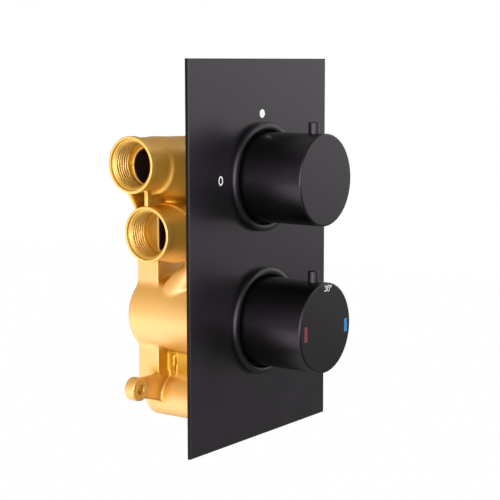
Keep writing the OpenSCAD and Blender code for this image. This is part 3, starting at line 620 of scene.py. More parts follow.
@dataclass(frozen=True)
class Grained(Finish):
    """Surface whose colour and gloss vary with a cloud, and that has a fine grain.

    The cloud and the grain are noises, each given as its scale, detail and roughness. Without a
    grain the cloud serves as one. The shares say how much of the grain goes into the two. The
    share of metal goes from the first to the second past an edge, which is a distance to the
    left and to the right of the middle; with a near-black colour that is painted shade, as the
    paint hardly reflects there. A finish with a shade colour instead paints shade with it, and
    with the second share of metal, where the piece carries painted shade. Gleam holds the
    shader's own sockets and values.
    """

    first: Triple
    second: Triple
    rough: Pair
    cloud: Triple
    grain: Triple | None = None
    change: Pair = (0.35, 0.7)
    gloss_change: Pair = (0.3, 0.7)
    colour_share: float = 0.0
    gloss_share: float = 1.0
    drawn: Triple | None = None
    depth: float = 0.00002
    strength: float = 0.3
    metals: Pair = (0.0, 0.0)
    shade_colour: Triple | None = None
    edge: float = 0.0
    edge_fade: float = 0.0002
    gleam: tuple[tuple[str, object], ...] = ()

    def fill(self, kit: Paint) -> None:
        """Adds the nodes.

        Args:
            kit: Node kit of the material.
        """
        cloud = kit.noise(*self.cloud, self.drawn)
        grain = kit.noise(*self.grain) if self.grain else cloud
        tone = cloud + self.colour_share * grain if self.colour_share else cloud
        colour = kit.mix(kit.span(tone, *self.change, 0.0, 1.0), self.first, self.second)
        gloss = cloud * (1 - self.gloss_share) + grain * self.gloss_share
        metal = self.metals[0]
        # Painted shade: past the edge the paint turns metal of its near-black colour, so it hardly
        # reflects.
        if self.edge:
            x = kit.axes()[0]
            metal = kit.span(x.over(x * -1.0), self.edge, self.edge + self.edge_fade, *self.metals)
        # Painted shade: the shade colour and the second share of metal where the piece carries painted
        # shade.
        if self.shade_colour:
            colour = kit.mix(kit.shelter(), colour, self.shade_colour)
            metal = kit.span(kit.shelter(), 0.0, 1.0, *self.metals)
        sockets = {"Base Color": colour, "Metallic": metal,
                   "Roughness": kit.span(gloss, *self.gloss_change, *self.rough), **dict(self.gleam)}
        if self.strength:
            sockets["Normal"] = kit.bump(grain, self.depth, self.strength)
        kit.finish(sockets)


@dataclass(frozen=True)
class CastBrass(Finish):
    """Brass as it leaves the sand, tumbled smooth, with painted shade in its hollows and waterways.

    The painted shade that the casting carries at each point brings a duller colour and more metal
    out in its hollows. The waterways are painted near black as shade, over the cast skin's own
    darker tone. The lower half is paler and less metallic, painted light from below, as it shows
    in the photograph. Each waterway is given as the level of its axis, its radius and how far out
    it ends, in metres, and the grain and the swell as their depth and strength.
    """

    name: str = "sand_cast_brass"
    pale: Triple = (0.97, 0.52, 0.045)
    deep: Triple = (0.91, 0.435, 0.02)
    # Painted light: paler colour and less metal of the lower half.
    painted_light_colour: Triple = (0.86, 0.435, 0.05)
    # Painted shade: colour of the hollows.
    shade_colour: Triple = (0.68, 0.355, 0.008)
    # Painted shade: near-black colour of the waterways, over the cast skin's own darker tone.
    skin: Triple = (0.05, 0.018, 0.012)
    metal: float = 0.46
    painted_light_metal: float = 0.3
    painted_shade_metal: float = 0.8
    index: float = 2.08
    cloud: Pair = (60.0, 4.0)
    sand: Triple = (1400.0, 3.0, 0.6)
    wave: Pair = (170.0, 2.0)
    change: Pair = (0.45, 0.85)
    painted_light_z: Pair = (-0.012, 0.008)
    painted_shade_share: Pair = (0.28, 0.75)
    gloss_change: Pair = (0.3, 0.7)
    rough: Pair = (0.4, 0.52)
    sand_share: float = 0.35
    gloss_share: float = 0.4
    painted_light_cloud: float = 0.01
    painted_shade_cloud: float = 0.15
    grain: Pair = (0.00009, 0.3)
    swell: Pair = (0.0003, 0.4)
    way_depth: float = 0.042
    outlet_way: Triple = (0.0471, 0.0098, 0.0443)
    inlet_way: Triple = (0.0099, 0.0104, 0.0317)
    way_fade: float = 0.0006
    way_start: float = 0.002

    def _painted_waterway_shade(self, kit: Paint) -> Wire:
        """Share of the near-black painted shade in the waterways, by the distance from each waterway's
        axis and along it.

        Args:
            kit: Node kit of the material.

        Returns:
            1 inside the waterways and 0 elsewhere.
        """
        x, y, z = kit.axes()
        y, left = y - self.way_depth, x * -1.0
        shares = []
        for out, (level, radius, end) in ((left, self.outlet_way), (left.over(x), self.inlet_way)):
            away = (y * y + (z - level) * (z - level)) ** 0.5
            shares.append(kit.span(away, radius, radius + self.way_fade, 1.0, 0.0)
                          * kit.span(out, end, end + self.way_fade, 1.0, 0.0)
                          * kit.span(out, 0.0, self.way_start, 0.0, 1.0))
        return shares[0].over(shares[1])

    def fill(self, kit: Paint) -> None:
        """Adds the nodes of the cast brass.

        Args:
            kit: Node kit of the material.
        """
        cloud, sand, wave = (kit.noise(*given) for given in (self.cloud, self.sand, self.wave))
        tone = kit.span(cloud + self.sand_share * sand, *self.change, 0.0, 1.0)
        clean = kit.mix(tone, self.pale, self.deep)
        # Painted light from below: the lower half goes paler and less metallic.
        low = kit.span(kit.axes()[2] + self.painted_light_cloud * cloud, *self.painted_light_z, 1.0, 0.0)
        # Painted shade: a duller colour and more metal where the casting carries painted shade.
        painted_shade_share = kit.span(kit.shelter() + self.painted_shade_cloud * cloud, *self.painted_shade_share, 0.0, 1.0)
        painted_light_and_shade = kit.mix(painted_shade_share, kit.mix(low, clean, self.painted_light_colour), self.shade_colour)
        metal = self.metal - (self.metal - self.painted_light_metal) * low
        # Painted shade: the waterways go near black, over the cast skin's own darker tone.
        colour = kit.mix(self._painted_waterway_shade(kit), painted_light_and_shade, self.skin)
        gloss = cloud * (1 - self.gloss_share) + sand * self.gloss_share
        kit.finish({"Base Color": colour, "Metallic": metal + (self.painted_shade_metal - metal) * painted_shade_share,
                    "Roughness": kit.span(gloss, *self.gloss_change, *self.rough),
                    "IOR": self.index, "Specular IOR Level": 1.0,
                    "Normal": kit.bump(sand, *self.grain, kit.bump(wave, *self.swell))})


@dataclass(frozen=True)
class PaleFloor(Finish):
    """White to the camera but for the valve's shadow.

    For all else it glows behind and to the left of the valve and is a dim grey in front of it.
    """

    name: str = "pale_floor"
    grey: Quad = (0.25, 0.25, 0.25, 1.0)
    glow: float = 1.9
    seen_share: float = 0.995
    slant: float = 0.4
    back: Pair = (0.22, 0.45)
    back_share: Pair = (0.05, 0.95)

    def fill(self, kit: Paint) -> None:
        """Adds the nodes of the floor.

        Args:
            kit: Node kit of the material.
        """
        x, y, _ = kit.axes()
        back = kit.span(y - self.slant * x, *self.back, *self.back_share)
        seen = kit.node("ShaderNodeLightPath", out="Is Camera Ray")
        shade = kit.node("ShaderNodeBsdfDiffuse", {}, {"Color": self.grey})
        glow = kit.node("ShaderNodeEmission", {}, {"Color": self.glow - (self.glow - 1.0) * seen})
        share = self.seen_share * seen + back * (1.0 - seen)
        both = kit.node("ShaderNodeMixShader", {}, {0: share, 1: shade, 2: glow})
        kit.node("ShaderNodeOutputMaterial", {}, {"Surface": both})


def toned(colour: Triple, share: float) -> Triple:
    """The same hue, darker below a share of 1 and lighter above it."""
    return tuple(c * share for c in colour)


def printed(name: str, colour: Triple) -> Grained:
    """Screen printed mark, thin and a little uneven."""
    return Grained(name, colour, toned(colour, 0.8), rough=(0.42, 0.55),
                   cloud=(2500.0, 2.0, 0.55), change=(0.55, 0.8), strength=0.0)


def moulded(name: str, colour: Triple, rough: float, depth: float = 0.00002) -> Grained:
    """Moulded plastic, ceramic or rubber, with the faint cloud and grain of its mould."""
    return Grained(name, colour, toned(colour, 0.86), rough=(rough - 0.05, rough + 0.06),
                   cloud=(45.0, 2.0, 0.55), grain=(1800.0, 2.0, 0.55), depth=depth)


def satin(name: str, colour: Triple, rough: float, edge: float = 0.0) -> Grained:
    """Satin black paint with a very fine orange peel, duller past an edge if one is given: there painted
    shade hides its reflection.
    """
    return Grained(name, colour, toned(colour, 1.5), rough=(rough - 0.02, rough + 0.03),
                   cloud=(30.0, 2.0, 0.55), grain=(1100.0, 2.0, 0.5), change=(0.45, 0.9),
                   colour_share=0.3, gloss_share=0.3, strength=0.1, metals=(0.0, 0.85), edge=edge,
                   gleam=(("Specular Tint", (1.0, 0.88, 1.0, 1.0)),))


FINISHES = {
    "black_paint": satin("satin_black", (0.0013, 0.0012, 0.0013), 0.29),
    # The plate's edge, 63.6 mm either side of the middle, gets painted shade that hides its reflection.
    "faceplate": satin("satin_plate", (0.0085, 0.0078, 0.0085), 0.3, 0.0636),
    "black_trim": satin("satin_trim", (0.003, 0.0029, 0.0032), 0.32),
    "cast_brass": CastBrass(),
    # Turned brass with painted shade in its hollows, from the share that each mouth carries.
    "turned_brass": Grained(
        "lathe_turned_brass", (0.95, 0.54, 0.07), (0.88, 0.465, 0.04), rough=(0.34, 0.44),
        cloud=(90.0, 3.0, 0.55), grain=(900.0, 1.0, 0.5), gloss_share=0.5, depth=0.00003,
        strength=0.4, metals=(0.45, 0.65), shade_colour=(0.5, 0.27, 0.008),
        gleam=(("IOR", 2.0), ("Specular IOR Level", 1.0))),
    "steel": Grained(
        "bright_steel", (0.62, 0.62, 0.64), (0.48, 0.49, 0.51), rough=(0.2, 0.34),
        cloud=(700.0, 2.0, 0.5), change=(0.0, 1.0), drawn=(1.0, 0.15, 1.0), metals=(1.0, 1.0)),
    "ceramic": moulded("lapped_ceramic", (0.88, 0.87, 0.82), 0.18, 0.000005),
    "white_plastic": moulded("white_moulding", (0.8, 0.8, 0.78), 0.42),
    "grey_plastic": moulded("grey_moulding", (0.10, 0.10, 0.105), 0.5),
    "rubber": moulded("seal_rubber", (0.02, 0.02, 0.021), 0.62),
    "copper": Grained(
        "drawn_copper", (0.9, 0.5, 0.34), (0.6, 0.3, 0.18), rough=(0.22, 0.38),
        cloud=(160.0, 3.0, 0.55), change=(0.4, 0.7), metals=(1.0, 1.0), depth=0.00003),
}


# Sub-assemblies


@dataclass
class CastBody:
    """Cast brass body with its two barrels, its chamber, three ports and two fixing lugs.

    A bore is given as its radius and the two ends it runs between. Where a method gives forms
    one by one, the number beside each is the reach of the fillet that it is joined with.
    """

    flow_y: float = 40.6
    mix_y: float = -39.4
    barrel_r: float = 21.0
    barrel_draft: float = 1.2
    draft_from: float = 20.0
    neck_r: float = 19.7
    neck_front: float = -8.0
    neck_back: float = -18.0
    neck_root: float = -30.0
    depth: float = 77.5
    mix_drop: float = 2.8
    mix_barrel_r: float = 21.6
    mix_back_grow: float = 1.05
    barrel_round: float = 2.5
    flow_bores: tuple[Triple, ...] = ((14.1, -22, -4), (12.6, -52, -4), (7.5, -70, -45))
    mix_bores: tuple[Triple, ...] = ((17.3, -23, -4), (16.3, -66, -4), (11.0, -73, -60))
    port_z: float = -42.0
    outlet_y: float = 48.6
    outlet_reach: float = 59.0
    inlet_y: float = 9.9
    inlet_reach: float = 46.5
    port_neck_r: float = 14.6
    neck_taper: float = 1.4
    taper_from: float = 7.0
    taper_run: float = 40.0
    rim_len: float = 4.0
    overlap: float = 1.0
    pocket_r: float = 12.95
    pocket_len: float = 14.4
    pocket_over: float = 3.0
    chamber_r: float = 17.5
    chamber_reach: float = 41.0
    chamber_drop: float = 5.1
    drop_at_end: float = 0.4
    chamber_grow: float = 2.1
    chamber_run: float = 17.0
    inlet_chamber_r: float = 18.0
    inlet_chamber_reach: float = 24.0
    inlet_cone_r: float = 13.6
    cone_slant: float = 0.97
    bead_at: float = 34.0
    bead_lean: float = 0.42
    bead_r: float = 0.85
    bead_end: float = 6.0
    outlet_way: Triple = (9.6, -59.0, -8.0)
    inlet_way_r: float = 10.2
    inlet_way_end: float = 2.0
    way_drop: float = 1.5
    way_back: float = 2.8
    gallery_z: float = -70.0
    gallery_r: float = 5.5
    spine_half: float = 12.8
    spine_front: float = -62.0
    middle_over: float = 4.2
    web_inset: float = 1.5
    web_t: float = 2.8
    back_web: Pair = (-56.4, -53.6)
    back_web_lean: float = 6.0
    back_web_set: float = 10.0
    back_web_over: float = 8.0
    duct_x: float = 7.0
    duct_r: float = 6.6
    duct_foot_r: float = 10.0
    duct_foot: float = 12.4
    hot_knee: float = 27.4
    hot_duct_z: Pair = (-38.0, -50.0)
    cold_duct_z: float = -36.0
    fin_half: float = 5.0
    fin_set: float = 5.0
    fin_front: float = -32.0
    rib_x: Pair = (4.5, 6.6)
    rib_z: Quad = (-58.6, -57.5, -55.9, -54.8)
    rib_drop: float = 1.6
    rib_len: float = 12.0
    foot_y: float = -90.6
    foot_r: float = 12.6
    foot_z: Pair = (-75.0, -25.0)
    foot_round: float = 4.5
    lug_x: float = 34.0
    lug_y: float = -81.0
    lug_r: float = 6.7
    lug_front: float = -57.5
    lug_back: float = -64.5
    lug_hole: Triple = (2.65, -70.0, -50.0)
    arm_share: float = 0.75
    arm_set: float = 3.5
    # Painted shade: probe steps for the hollows, and shares and margins for the ports' inside walls and
    # the gap above the foot.
    probe: tuple[float, ...] = (3.0, 7.0, 14.0)
    port_painted_shade: float = 0.62
    port_margin: float = 0.2
    port_inside: Pair = (30.0, 12.0)
    gap_painted_shade: float = 0.75
    gap_more: Pair = (1.5, 2.5)
    gap_fade: float = 3.0
    gap_margin: float = 0.3
    search: tuple[Triple, Triple] = ((-59.0, -106.0, -81.0), (46.5, 68.0, -5.0))
    pitch: float = 0.95

    def _barrels(self, p: Places) -> Forms:
        """The two barrels with their turned necks, the outlet's chamber and the spine.

        Args:
            p: x, y and z.

        Returns:
            Each form with its fillet's reach.
        """
        x, y, z = p
        from_z, back = self.draft_from, -self.depth
        draft = self.barrel_draft * np.clip((-z - from_z) / (self.depth - from_z), 0, 1)
        low = self.mix_y - self.mix_drop
        for level, radius, end, neck in (
                (self.flow_y, self.barrel_r - draft, back, self.flow_y),
                (low, self.mix_barrel_r, back - self.mix_back_grow, self.mix_y)):
            barrel = rod(x, y - level, z, radius, end, self.neck_back, self.barrel_round)
            turned = rod(x, y - neck, z, self.neck_r, self.neck_root, self.neck_front, edge=0.5)
            yield blend(barrel, turned, reach=0.3), 3.0
        grown = np.clip((x + self.chamber_reach) / self.chamber_run, 0, 1)
        grown = grown * grown * (3 - 2 * grown)
        drop = self.chamber_drop * (self.drop_at_end + (1 - self.drop_at_end) * grown)
        radius = self.chamber_r - self.chamber_grow * (1 - grown)
        yield rod(z - self.port_z, y - self.outlet_y + drop, x, radius, -self.chamber_reach, 0,
                  edge=0.9), 0.8
        half, neck = self.spine_half, self.port_neck_r
        front = self.port_z + self.middle_over
        yield block(p, (-half, self.foot_y, back), (half, self.flow_y, self.spine_front), edge=0.8), 2.2
        yield block(p, (-half, self.inlet_y - neck, back), (half, self.outlet_y - neck, front),
                    edge=0.8), 2.2

    def _ports(self, p: Places) -> Forms:
        """The outlet's neck, and the inlets' chambers with their raised lines and their necks.

        Args:
            p: x, y and z.

        Returns:
            Each form with its fillet's reach.
        """
        x, y, z = p
        around, near = z - self.port_z, np.abs(x)
        gone = (x + self.outlet_reach - self.taper_from) / self.taper_run
        radius = self.port_neck_r - self.neck_taper * np.clip(gone, 0, 1)
        yield rod(around, y - self.outlet_y, x, radius,
                  self.rim_len - self.overlap - self.outlet_reach, 0, edge=0.6), 3.2
        run = self.inlet_reach - self.rim_len - self.inlet_chamber_reach
        shrunk = np.clip((near - self.inlet_chamber_reach) / run, 0, 1)
        out = (np.hypot(around, y - self.inlet_y) - self.inlet_chamber_r
               + (self.inlet_chamber_r - self.inlet_cone_r) * shrunk)
        past = near - self.inlet_reach + self.rim_len
        yield -blend(-out * self.cone_slant, -past, reach=1.0), 2.0
        along = near - self.bead_at + self.bead_lean * np.maximum(around, 0)
        below = np.maximum(self.inlet_y + self.bead_end - y, 0)
        yield np.sqrt(out * out + along * along + below * below) - self.bead_r, 0.7
        yield rod(around, y - self.inlet_y, near, self.port_neck_r, -self.overlap,
                  self.inlet_reach - self.rim_len + self.overlap, edge=0.6), 1.0

    def _webs(self, p: Places) -> Forms:
        """The webs between the ports, the ducts, and the fin and the rib above the foot.

        Args:
            p: x, y and z.

        Returns:
            Each form with its fillet's reach.
        """
        x, y, z = p
        low, high = self.inlet_y, self.outlet_y
        side = -self.inlet_reach + self.web_inset
        yield plate(x, y, z, [(side, low), (0, low), (0, high), (side, high)],
                    self.port_z - self.web_t, self.port_z, edge=0.5), 1.8
        heel, under = self.back_web_set - self.chamber_reach, high - self.port_neck_r
        top = under + self.back_web_over
        lean = heel - (self.back_web_set + self.back_web_lean) * (top - low) / (under - low)
        yield plate(x, y, z, [(heel, low), (0, low), (0, top), (lean, top)], *self.back_web,
                    edge=0.5), 1.8
        hot, cold, foot = -self.duct_x, self.duct_x, self.mix_y + self.duct_foot
        upper_z, foot_z = self.hot_duct_z
        knee = (hot, self.mix_y + self.hot_knee, upper_z)
        yield bar(p, (hot, low, upper_z), knee, self.duct_r, self.duct_r), 2.0
        yield bar(p, knee, (hot, foot, foot_z), self.duct_r, self.duct_foot_r), 1.5
        yield bar(p, (cold, low, self.cold_duct_z), (cold, foot, self.cold_duct_z), self.duct_r,
                  self.duct_foot_r), 2.0
        level = self.mix_y - self.mix_drop
        yield block(p, (-self.fin_half, self.foot_y, -self.depth + self.fin_set),
                    (self.fin_half, level, self.fin_front), edge=0.8), 1.6
        top = level - self.mix_barrel_r - self.rib_drop
        ends = (top, top - self.rib_len, top - self.rib_len, top)
        yield plate(z, y, -x, list(zip(self.rib_z, ends)), *self.rib_x, edge=0.4), 0.5

    def _foot(self, p: Places) -> Forms:
        """The closed boss at the bottom with its two fixing lugs and their arms.

        Args:
            p: x, y and z.

        Returns:
            Each form with its fillet's reach.
        """
        x, y, z = p
        yield rod(x, y - self.foot_y, z, self.foot_r, *self.foot_z, self.foot_round), 2.2
        near, arm, out = np.abs(x), self.lug_r * self.arm_share, self.lug_x
        corners = [(0, self.foot_y - arm), (out, self.lug_y - arm), (out, self.lug_y + arm),
                   (0, self.lug_y + arm)]
        yield plate(near, y, z, corners, self.lug_back, self.lug_front - self.arm_set, edge=0.8), 2.0
        yield rod(near - out, y - self.lug_y, z, self.lug_r, self.lug_back, self.lug_front,
                  edge=0.8), 1.2

    def _bores(self, p: Places) -> Forms:
        """The cartridges' bores, the ports, the waterways and the fixing holes.

        Args:
            p: x, y and z.

        Returns:
            Each form that is cut away, with its fillet's reach.
        """
        x, y, z = p
        for level, bores in ((self.flow_y, self.flow_bores), (self.mix_y, self.mix_bores)):
            for bore in bores:
                yield rod(x, y - level, z, *bore, edge=0.1), 0.25
        around, near, reach = z - self.port_z, np.abs(x), self.inlet_reach
        yield rod(around, y - self.outlet_y, x, self.pocket_r, -self.outlet_reach - self.pocket_over,
                  self.pocket_len - self.outlet_reach, edge=0.3), 0.3
        yield rod(around, y - self.outlet_y + self.way_drop, x, *self.outlet_way, edge=0.5), 1.0
        yield rod(around, y - self.inlet_y, near, self.pocket_r, reach - self.pocket_len,
                  reach + self.pocket_over, edge=0.3), 0.3
        way = np.hypot(around, y - self.inlet_y) - self.inlet_way_r
        way = np.maximum(way, -self.way_back - around)
        yield np.maximum(way, np.maximum(self.inlet_way_end - near, near - reach)), 0.4
        yield rod(near - self.lug_x, y - self.lug_y, z, *self.lug_hole, edge=0.1), 0.5
        yield rod(x, z - self.gallery_z, y, self.gallery_r, self.mix_y, self.flow_y, edge=0.1), 0.3

    def field(self, p: Places) -> Array:
        """Field of the whole casting.

        Formula: the forms are joined one after the other, and then the bores are cut away.

        Args:
            p: x, y and z.

        Returns:
            The field.
        """
        forms = chain(self._barrels(p), self._ports(p), self._webs(p), self._foot(p))
        d, _ = next(forms)
        for form, reach in forms:
            d = blend(d, form, reach)
        for form, reach in self._bores(p):
            d = cut(d, form, reach)
        return d

    def _painted_shade(self, points: Array) -> Array:
        """Share of painted shade at each point of the skin, by how far it lies in a hollow.

        Formula: a step out along the surface's normal gains less distance than its length where
        other walls are near. The shares that are missing after each step are averaged. The ports'
        inside walls and the gap above the foot, which lie in shade, have at least a painted shade of
        their own.

        Args:
            points: Points of the skin as (n, 3).

        Returns:
            A share from 0 to 1 for each point.
        """
        grade = slope(self.field, points, step=0.3)
        grade /= np.maximum(np.linalg.norm(grade, axis=1, keepdims=True), 1e-6)
        missing = [1 - self.field((points + grade * step).T) / step for step in self.probe]
        x, y, z = points.T
        least = np.zeros(len(points))
        for level, out, start in ((self.outlet_y, -x, self.port_inside[0]),
                                  (self.inlet_y, np.abs(x), self.port_inside[1])):
            within = np.hypot(z - self.port_z, y - level) < self.pocket_r - self.port_margin
            least[within & (out > start)] = self.port_painted_shade
        low, high = self.foot_y + self.foot_r, self.mix_y - self.mix_drop - self.mix_barrel_r
        in_gap = (np.clip((y - low + self.gap_more[0]) / self.gap_fade, 0, 1)
                  * np.clip((high + self.gap_more[1] - y) / self.gap_fade, 0, 1)
                  * (np.abs(x) < self.spine_half - self.gap_margin))
        least = np.maximum(least, self.gap_painted_shade * in_gap)
        return np.clip(sum(missing) / len(missing), least, 1)

    def _casting(self) -> bpy.types.Object:
        """The casting's skin, stood up against the wall.

        Returns:
            The casting.
        """
        points, quads = skin(self.field, *self.search, self.pitch)
        stood = np.stack([points[:, 0], -points[:, 2], points[:, 1]], axis=1) * MM
        casting = make_piece("cast_body", stood, outward(stood, quads), crease=60.0)
        store_painted_shade(casting, self._painted_shade(points))
        return casting

    def build(self) -> list[bpy.types.Object]:
        """Builds the casting and the turned mouths of its ports.

        Returns:
            The pieces, riding on the valve.
        """
        casting = self._casting()
        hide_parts("valve_body")
        FINISHES["cast_brass"].dress(casting)
        depth = -self.port_z
        mouths = [
            PortMouth("outlet_mouth", Side.RIGHT, (-self.outlet_reach, depth, self.outlet_y)),
            PortMouth("hot_mouth", Side.RIGHT, (-self.inlet_reach, depth, self.inlet_y)),
            PortMouth("cold_mouth", Side.LEFT, (self.inlet_reach, depth, self.inlet_y)),
        ]
        return [casting] + [mouth.build() for mouth in mouths]


@dataclass
class PortMouth:
    """Turned mouth of a port: its rim, a counterbore and the thread inside, as one ring.

    The shares of painted shade hold at the mouth, half way down the counterbore, on its floor
    and at the end.
    """

    name: str
    inward: Side
    origin: Triple
    rim_r: float = 15.4
    rim_len: float = 4.0
    step_r: float = 14.0
    step_floor_r: float = 13.3
    step_len: float = 1.3
    lead_len: float = 1.1
    crest_r: float = 12.1
    thread_depth: float = 0.6
    thread_pitch: float = 1.814
    thread_end: float = 14.2
    sleeve_r: float = 13.2
    thread_gap: float = 0.3
    thread_fade: float = 1.5
    flank: float = 2.5
    around: int = 144
    per_turn: int = 10
    painted_shades: Quad = (0.0, 0.9, 0.35, 0.9)
    rim_margin: float = 0.05
    corner_margin: float = 0.2

    def _outline(self) -> tuple[Array, Array]:
        """Closed outline of the ring, as pairs of the radius and the distance along the axis.

        Returns:
            The outline, and at each of its points the share of the thread's depth cut there.
        """
        start = self.step_len + self.lead_len + self.thread_gap
        turns = int((self.thread_end - start) / self.thread_pitch * self.per_turn)
        along = np.linspace(start, self.thread_end, turns)
        thread = np.stack([np.full(turns, self.crest_r), along], axis=1)
        fade = np.clip((self.thread_end - along) / (self.thread_fade * self.thread_pitch), 0, 1)
        # Radius, distance along and rounding of each corner, from the sleeve's end round the rim
        front = rounded([
            (self.sleeve_r, self.thread_end, 0), (self.sleeve_r, self.rim_len, 0.2),
            (self.rim_r, self.rim_len, 0.7), (self.rim_r, 0, 0.45),
            (self.step_r, 0, 0.25), (self.step_r, self.step_len, 0.15),
            (self.step_floor_r, self.step_len, 0.15),
            (self.crest_r + 0.1, self.step_len + self.lead_len, 0.1),
        ])[:-1]
        outline = np.concatenate([front, thread])
        return outline, np.concatenate([np.zeros(len(front)), fade])

    def _painted_shade(self, outline: Array) -> Array:
        """Share of painted shade at each point of the outline, by how far it lies in a hollow.

        Formula: nothing on the rim. Inside, a share that is high in the corner of the
        counterbore, low on its floor, and then grows with the depth.

        Args:
            outline: The ring's outline.

        Returns:
            A share from 0 to 1 for each point.
        """
        # Painted shade: none on the rim, most in the counterbore's corner, less on its floor, more with
        # depth.
        radius, along = outline.T
        half_way = self.step_len * 0.5
        deep = np.interp(along, (0, half_way, self.step_len, self.thread_end), self.painted_shades)
        corner = (radius > self.step_floor_r + self.corner_margin) & (along > half_way)
        return np.where(radius < self.step_r + self.rim_margin, np.where(corner, 1.0, deep), 0.0)

    def build(self) -> bpy.types.Object:
        """Builds the ring.

        Formula: on the threaded part the radius grows from the crest by the thread's depth
        times a smoothed zigzag of the distance along over the pitch, less the angle over a
        full turn, so that the groove climbs one pitch for each turn. A point lies the distance
        along from the origin, and the radius times the angle's cosine and sine across.

        Returns:
            The ring, riding on the valve.
        """
        outline, cut_share = self._outline()
        angle = np.arange(self.around) * 2 * math.pi / self.around
        angles, radius = np.meshgrid(angle, outline[:, 0], indexing="ij")
        along = np.broadcast_to(outline[:, 1], radius.shape)
        phase = np.mod(along / self.thread_pitch - angles / (2 * math.pi), 1.0)
        zigzag = np.clip(self.flank / 2 - self.flank * np.abs(2 * phase - 1), 0, 1)
        radius = radius + self.thread_depth * cut_share * zigzag
        way = self.inward.value
        turned = np.stack([way * along, radius * np.cos(angles), way * radius * np.sin(angles)], axis=-1)
        points = (turned + self.origin).reshape(-1, 3) * MM
        quads = grid_quads(self.around, len(outline), True, True)
        piece = make_piece(self.name, points, outward(points, quads), crease=28.0)
        store_painted_shade(piece, np.broadcast_to(self._painted_shade(outline), radius.shape))
        FINISHES["turned_brass"].dress(piece)
        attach(piece, "valve")
        return piece


class Ink(Enum):
    """Colours of the printed marks."""

    WHITE = printed("white_print", (0.95, 0.95, 0.95))
    RED = printed("red_print", (0.20, 0.025, 0.035))
    BLUE = printed("blue_print", (0.03, 0.24, 0.52))


class Face(Enum):
    """Printed faces, with their place along y in millimetres and the body they move with."""

    PLATE = (-2.0, "valve")
    KNOB = (-44.6, "temperature_control")


